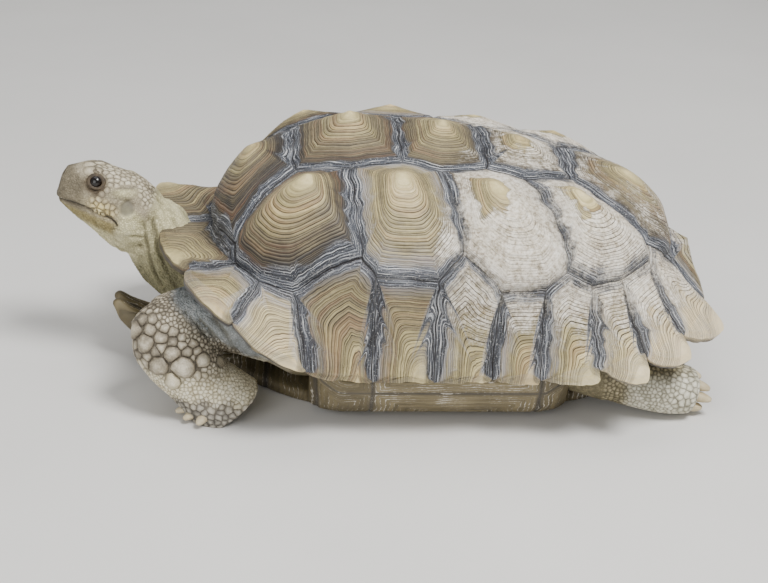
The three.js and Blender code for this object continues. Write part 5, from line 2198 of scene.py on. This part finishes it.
    def crown_spacing(self, head: HeadForm) -> Array:
        """Spacing of the scales on crown and cheek.

        Args:
            head: the head's form.

        Returns:
            The spacing at each of the skin's points, 0 for none.
        """
        forward, across, up = head.into(self.points).T
        face = Skin(head).face(np.stack([forward, across, up], axis=-1))
        clear = (np.hypot((forward - head.eye[0]) / 1.25, up - head.eye[2]) > 9.5) | (np.abs(across) < 9)
        lowest = np.interp(forward, [3, 9, 17, 24, 33, 43, 50, 60, 68], [12, 8, 20, 24.5, 23, 20, 9, 24, 25])
        on_cheek = (np.abs(forward - 46) < 12.5) & (np.abs(up + 1.5) < 6.8)
        area = (forward > 2) & (forward < 70) & clear & ((up > lowest) | on_cheek)
        area &= (np.abs(self.points[:, 1]) < 60) & (self.points[:, 2] > 90)
        for name, most in (("ear", 0.05), ("nostril", 0.15), ("temple", 0.35), ("mouth", 0.3)):
            area &= face[name] < most
        on_top = smooth((self.normals @ head.turn()[:, 2] - 0.3) / 0.4)
        size = 4.4 + 0.6 * on_top + 4.0 * smooth((forward - 56) / 8) * on_top
        return np.where(area, size - 1.2 * smooth((16 - forward) / 10), 0.0)


@dataclass
class PebbleField:
    """Fine pebbles of the loose skin, strewn by a node tree and laid flat on it.

    Attributes:
        scales: the field of scales, which knows the skin.
        spacing: least distance between pebbles, in metres.
        size: mean half width, in metres.
        flat: height as a share of the half width.
        seed: seed of the strewing.
        density: most pebbles to a square metre.
        segments: sides of a pebble.
        rings: its rings.
    """

    scales: ScaleField
    spacing: float = 0.0021
    size: float = 0.00125
    flat: float = 0.3
    seed: int = 11
    density: float = 400000.0
    segments: int = 6
    rings: int = 4

    def tree(self, finish: Material) -> Tree:
        """The tree: points on the skin where it is marked, a pebble on each.

        Args:
            finish: finish of the pebbles.

        Returns:
            The tree.
        """
        w = Group("pebbles", "GeometryNodeTree", {
            "Skin": Kind.GEOMETRY, "Spacing": Kind.NUMBER, "Size": Kind.NUMBER, "Flat": Kind.NUMBER,
            "Seed": Kind.WHOLE,
        }, {"Pebbles": Kind.GEOMETRY})
        where = w.node("GeometryNodeInputNamedAttribute", data_type="FLOAT")
        marked = w.fed(where, {"Name": "pebbled"}, "Attribute")
        strewn = w.node("GeometryNodeDistributePointsOnFaces", distribute_method="POISSON")
        spots = w.fed(strewn, {
            "Mesh": w.given["Skin"], "Distance Min": w.given["Spacing"], "Density Max": self.density,
            "Density Factor": marked, "Seed": w.given["Seed"]}, "Points")
        ball = {"Segments": self.segments, "Rings": self.rings}
        stone = w.fed(w.node("GeometryNodeMeshUVSphere"), ball, "Mesh")
        grow = w.node("FunctionNodeRandomValue", data_type="FLOAT")
        w.feed(grow.inputs["Seed"], w.given["Seed"])
        low, high = [k for k in grow.inputs if k.enabled and k.name in ("Min", "Max")]
        low.default_value, high.default_value = 0.7, 1.2
        wide = w.math("MULTIPLY", grow.outputs["Value"], w.given["Size"])
        scale = w.fed(w.node("ShaderNodeCombineXYZ"), (wide, wide, wide * w.given["Flat"]))
        put = w.fed(w.node("GeometryNodeInstanceOnPoints"), {
            "Points": spots, "Instance": stone, "Rotation": strewn.outputs["Rotation"], "Scale": scale,
        }, "Instances")
        real = w.fed(w.node("GeometryNodeRealizeInstances"), (put,))
        dressed = w.node("GeometryNodeSetMaterial")
        return w.closed(Pebbles=w.fed(dressed, {"Geometry": real, "Material": finish}))

    def build(self, finish: Material) -> Object:
        """Strews the pebbles over neck, jaw and shoulders.

        Args:
            finish: finish of the pebbles.

        Returns:
            The piece.
        """
        on, masks = self.scales, self.scales.masks
        wanted = np.clip(masks["neck"] * (1 - masks["throat"]) + masks["jaw"] + 0.7 * masks["shoulder"], 0, 1)
        wanted = wanted * (on.points[:, 0] < -222) * (on.sown < 0.1)
        wanted = wanted * (on.read("dark") < 0.3) * (on.read("crease") < 0.75)
        put_values(on.skin, "pebbled", (wanted > 0.45).astype(float))
        obj = linked("loose_skin_pebbles", on.skin.data.copy())
        strewing = obj.modifiers.new("pebbles", "NODES")
        strewing.node_group = self.tree(finish)
        values = {"Spacing": self.spacing, "Size": self.size, "Flat": self.flat, "Seed": self.seed}
        for socket in strewing.node_group.interface.items_tree:
            if socket.in_out == "INPUT" and socket.name in values:
                strewing[socket.identifier] = values[socket.name]
        plain_copy(obj)
        obj.data.polygons.foreach_set("use_smooth", [True] * len(obj.data.polygons))
        each = self.segments * (self.rings - 1) + 2
        pebbles = points_of(obj).reshape(-1, each, 3)
        middles = pebbles.mean(1)
        tree = KDTree(len(on.points))
        for i, p in enumerate(on.points):
            tree.insert(p, i)
        tree.balance()
        roots = np.array([tree.find(p)[1] for p in middles])
        tones = np.random.default_rng(self.seed).random(len(middles))
        out = np.einsum("ijk,ik->ij", pebbles - middles[:, None], on.normals[roots])
        edge = 1 - np.clip(out / (np.abs(out).max(1, keepdims=True) + 1e-6), 0, 1)
        put_values(obj, "tone", np.repeat(tones, each))
        put_values(obj, "edge", edge.ravel())
        on.mark(obj, np.repeat(roots, each))
        return settle(obj, "scaled_skin")


# ------------------------------------------------------------------ spurs, claws and eyes


@dataclass
class Spurs:
    """The horny spurs on the back of each thigh.

    Attributes:
        places: root of each, its radius and its length, in millimetres.
        way: how far it runs backwards, outwards and up for each millimetre of length.
    """

    places: tuple = SPURS
    way: Triple = (0.85, -0.25, -0.3)

    def build(self, horn: Material) -> list[Object]:
        """Builds the spurs of both sides.

        Args:
            horn: their finish.

        Returns:
            One piece a side.
        """
        made = []
        back, out, up = self.way
        for side in Side:
            s, bodies = side.value, []
            for x, y, z, radius, length in self.places:
                rows = tuple(
                    (x + reach * back, s * (y + reach * out), z + reach * up, *(radius * share,) * 2)
                    for reach, share in ((-10, 1), (length * 0.4, 0.62), (length, 0.16))
                )
                bodies.append(Limb(rows, power=2, domes=(0.1, 0.3), sides=16, steps=4).body())
            obj = mesh_object(f"thigh_spurs_{side.word}", *joined(bodies))
            made.append(settle(obj, "scaled_skin", finish=horn))
        return made


@dataclass
class Claws:
    """Blunt claws, five on each fore foot and four on each hind foot. Millimetres.

    Attributes:
        hook: how fast a claw bends down.
        depth: its height as a share of its width.
        sides: points round it.
        profile: reach and half width of its rings, a root below 0 in millimetres and the rest as shares.
        spread: bearing of each fore claw from the foot's own, in degrees.
        hind: root, way outwards and length of each hind claw.
    """

    hook: float = 0.0025
    depth: float = 0.8
    sides: int = 20
    profile: tuple = (
        (-7, 0.85), (-3, 0.96), (0, 1), (0.2, 0.95), (0.4, 0.87), (0.6, 0.76), (0.8, 0.6), (0.93, 0.43),
        (1.0, 0.26),
    )
    spread: tuple = (-46, -22, 2, 25, 48)
    hind: tuple = (
        (236, 110, 38, 0.1, 12), (243, 120, 30, 0.3, 12), (244, 125, 20, 0.35, 12), (238, 124, 9.5, 0.3, 10),
    )

    def body(self, at: Array, way: Array, length: float, half: float) -> Body:
        """One claw.

        Args:
            at: its root.
            way: its direction.
            length: its length.
            half: its half width.

        Returns:
            Its points and faces.
        """
        way = unit(way)
        across = unit(np.array([way[1], -way[0], 0]))
        angle = turns(self.sides)[:, None]
        section = np.cos(angle) * across + self.depth * np.sin(angle) * np.cross(way, across)
        rings = []
        for reach, share in self.profile:
            travel = reach if reach < 0 else reach * length
            middle = at + way * travel
            middle[2] -= self.hook * max(travel, 0) ** 2
            rings.append(middle + half * share * section)
        return ring_body(np.array(rings))

    def places(self, side: Side) -> list[tuple[str, Array, Array, float, float]]:
        """Where the claws of one side are.

        Args:
            side: the side.

        Returns:
            Node, root, direction, length and half width of each.
        """
        made, s = [], side.value
        for i, degrees in enumerate(self.spread):
            angle = math.radians(192 + degrees)
            way = np.array([math.cos(angle), -s * math.sin(angle), -0.18])
            at = np.array([-211 + way[0] * 31, s * 120 + way[1] * 31, 8.5])
            made.append((f"foreclaw_{side.word}_{i + 1}", at, way, 13 - abs(i - 2), 5.4))
        for i, (x, y, z, out, length) in enumerate(self.hind):
            way = np.array([1, s * out, -0.22 + 0.1 * (i - 1)])
            made.append((f"hindclaw_{side.word}_{i + 1}", np.array([x, s * y, z], float), way, length, 6.2))
        return made

    def build(self, horn: Material) -> list[Object]:
        """Builds every claw.

        Args:
            horn: their finish.

        Returns:
            The pieces.
        """
        return [
            settle(mesh_object(f"{node}_horn", *self.body(*shape)), "claw", node, finish=horn)
            for side in Side for node, *shape in self.places(side)]


@dataclass
class Eyes:
    """The two eyeballs, with lids round them. Millimetres.

    Attributes:
        head: the head's form.
        lid_at: how far across and how much higher than the eyeball the lids lie.
        lid_reach: radius of their ring.
        lid_turn: how far they lean forward and up, in radians.
        lid_shape: their stretch along, across and up.
    """

    head: HeadForm = field(default_factory=HeadForm)
    lid_at: tuple[float, float] = (20.9, 1.3)
    lid_reach: float = 6.7
    lid_turn: tuple[float, float] = (0.12, 0.5)
    lid_shape: Triple = (1.08, 0.55, 0.92)

    def ball(self) -> Body:
        """The eyeball.

        Returns:
            Its points round its own middle, and its faces.
        """
        t, p = np.meshgrid(np.linspace(0, np.pi, 26)[1:-1], turns(48), indexing="ij")
        points = np.stack([np.sin(t) * np.cos(p), np.cos(t), np.sin(t) * np.sin(p)], axis=-1)
        return ring_body(self.head.eye[3] * points)

    def lids(self) -> Body:
        """The lids as a ring, heavier above.

        Returns:
            Its points round its own middle, and its faces.
        """
        a, tube = turns(48)[:, None], turns(14)[None, :]
        heavy = 1.6 + 0.6 * np.maximum(np.sin(a), 0)
        wide = self.lid_reach + heavy * np.cos(tube)
        long, deep, high = self.lid_shape
        parts = (long * wide * np.cos(a), deep * heavy * np.sin(tube), high * wide * np.sin(a))
        loop = np.stack(parts, axis=-1)
        rows, count = loop.shape[:2]
        return loop.reshape(-1, 3), (grid_faces(rows + 1, count) % (rows * count)).tolist()

    def build(self, ball: Material, lid: Material) -> list[Object]:
        """Builds the eyes and lids.

        Args:
            ball: finish of the eyeball.
            lid: finish of the lids.

        Returns:
            The pieces.
        """
        made = []
        forward, across, up, _ = self.head.eye
        for side in Side:
            s = side.value
            verts, faces = self.ball()
            verts = self.head.out(verts + np.array([forward, -s * across, up]))
            eyeball = mesh_object(f"eye_ball_{side.word}", verts, faces)
            made.append(settle(eyeball, "eye", f"eye_{side.word}", finish=ball))
            ahead, raised = self.lid_turn
            lean = Matrix.Rotation(s * ahead, 3, "Z") @ Matrix.Rotation(-s * raised, 3, "X")
            verts, faces = self.lids()
            verts = verts @ np.array(lean).T + np.array([forward, -s * self.lid_at[0], up + self.lid_at[1]])
            lids = mesh_object(f"eyelid_{side.word}", self.head.out(verts), faces)
            made.append(settle(lids, "skin", finish=lid))
        return made


# ------------------------------------------------------------------ studio


@dataclass
class Studio:
    """Pale floor, soft lights and the camera.

    Attributes:
        azimuth: camera's bearing in degrees.
        elevation: its height over the horizon in degrees.
        roll: its roll in degrees.
        distance: distance to the target in millimetres.
        target: the point it looks at, in millimetres.
        lens: focal length over the sensor's width, both in millimetres.
        sensor: the sensor's width.
        floor: half the floor's width in millimetres.
        lights: name, place and size in metres, and power in watts.
        sky: tone and strength of the sky.
    """

    azimuth: float = -3.9
    elevation: float = 24.836
    roll: float = 2.026
    distance: float = 1685.787
    target: Triple = (-52.721, 0.0, 70.596)
    lens: float = 79.06
    sensor: float = 36.0
    floor: float = 6000.0
    lights: tuple = (
        ("key", (0.75, -0.95, 2.3), 0.8, 82), ("top", (-0.4, 0.4, 2.4), 1.8, 16),
        ("fill", (-1.1, -1.7, 0.8), 1.5, 20),
    )
    sky: tuple = ((0.98, 0.99, 1.0, 1), 0.42)

    def camera(self) -> None:
        """Places the scene's camera."""
        a, e, r = (math.radians(v) for v in (self.azimuth, self.elevation, self.roll))
        gaze = Vector((-math.sin(a) * math.cos(e), math.cos(a) * math.cos(e), -math.sin(e)))
        right = Vector((math.cos(a), math.sin(a), 0))
        up = right.cross(gaze)
        x_way, y_way = right * math.cos(r) + up * math.sin(r), up * math.cos(r) - right * math.sin(r)
        data = bpy.data.cameras.new("camera")
        data.lens, data.sensor_width = self.lens, self.sensor
        data.clip_start, data.clip_end = 0.01, 50.0
        obj = linked("camera", data)
        place = (Vector(self.target) - gaze * self.distance) * MM
        obj.matrix_world = Matrix.Translation(place) @ Matrix((x_way, y_way, -gaze)).transposed().to_4x4()
        bpy.context.scene.camera = obj

    def build(self) -> None:
        """Builds the floor, the lights and the sky."""
        corners = np.array([(-1, -1, 0), (1, -1, 0), (1, 1, 0), (-1, 1, 0)]) * self.floor
        floor = mesh_object("floor", corners, [[0, 1, 2, 3]])
        card = PlainFinish("floor_card", (214, 212, 208), (220, 218, 214), 3.0, 60.0, 0.0001, 0.85)
        dress(floor, card.make())
        for name, place, size, power in self.lights:
            data = bpy.data.lights.new(name, "AREA")
            data.shape, data.size, data.energy = "SQUARE", size, power
            obj = linked(name, data)
            obj.location, obj.rotation_mode = place, "QUATERNION"
            obj.rotation_quaternion = (Vector((0, 0, 0.1)) - Vector(place)).to_track_quat("-Z", "Y")
        world = bpy.data.worlds.new("sky")
        world.use_nodes = True
        back = world.node_tree.nodes["Background"]
        back.inputs[0].default_value, back.inputs[1].default_value = self.sky
        bpy.context.scene.world = world


# ------------------------------------------------------------------ assembly


def report(name: str, pieces: list[Object]) -> None:
    """Logs how many pieces and faces a sub-assembly has."""
    LOG.info("%s: %d pieces, %d faces", name, len(pieces), sum(len(p.data.polygons) for p in pieces))


def main() -> None:
    """Builds the tortoise and its studio."""
    logging.basicConfig(level=logging.INFO, format="%(name)s: %(message)s")
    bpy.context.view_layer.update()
    studio, effects = Studio(), Effects()
    studio.camera()
    report("carapace", Carapace().build(ShellFinish().make(effects)))
    report("belly", [BellyPlates().build(BellyFinish().make(effects))])
    hide = SkinFinish().make(effects)
    skin = Skin().build(hide)
    dress(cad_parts["torso"], hide)
    horn = ScaleFinish().make(effects)
    crown = ScaleFinish("head_scale", 0.5, 0.9, 0.6).make(effects)
    pebble_horn = ScaleFinish("pebble_scale", 0.16, 0.12, 0.66).make(effects)
    scales = ScaleField(skin)
    report("scales", scales.build(HeadForm(), horn, crown))
    report("pebbles", [PebbleField(scales).build(pebble_horn)])
    report("skin", [Skin().finish(skin)])
    report("spurs", Spurs().build(horn))
    claw_horn = PlainFinish("claw_horn", (176, 160, 126), (214, 202, 172), 60.0, 700.0, 0.0002, 0.5)
    report("claws", Claws().build(claw_horn.make()))
    ball = PlainFinish("eye_dark", (9, 6, 5), (20, 13, 9), 300.0, 300.0, 0.00001, 0.16)
    lid = PlainFinish("lid_skin", (44, 35, 24), (84, 70, 48), 240.0, 800.0, 0.0006, 0.65)
    report("eyes", Eyes().build(ball.make(), lid.make()))
    studio.build()


if __name__ == "__main__":
    main()
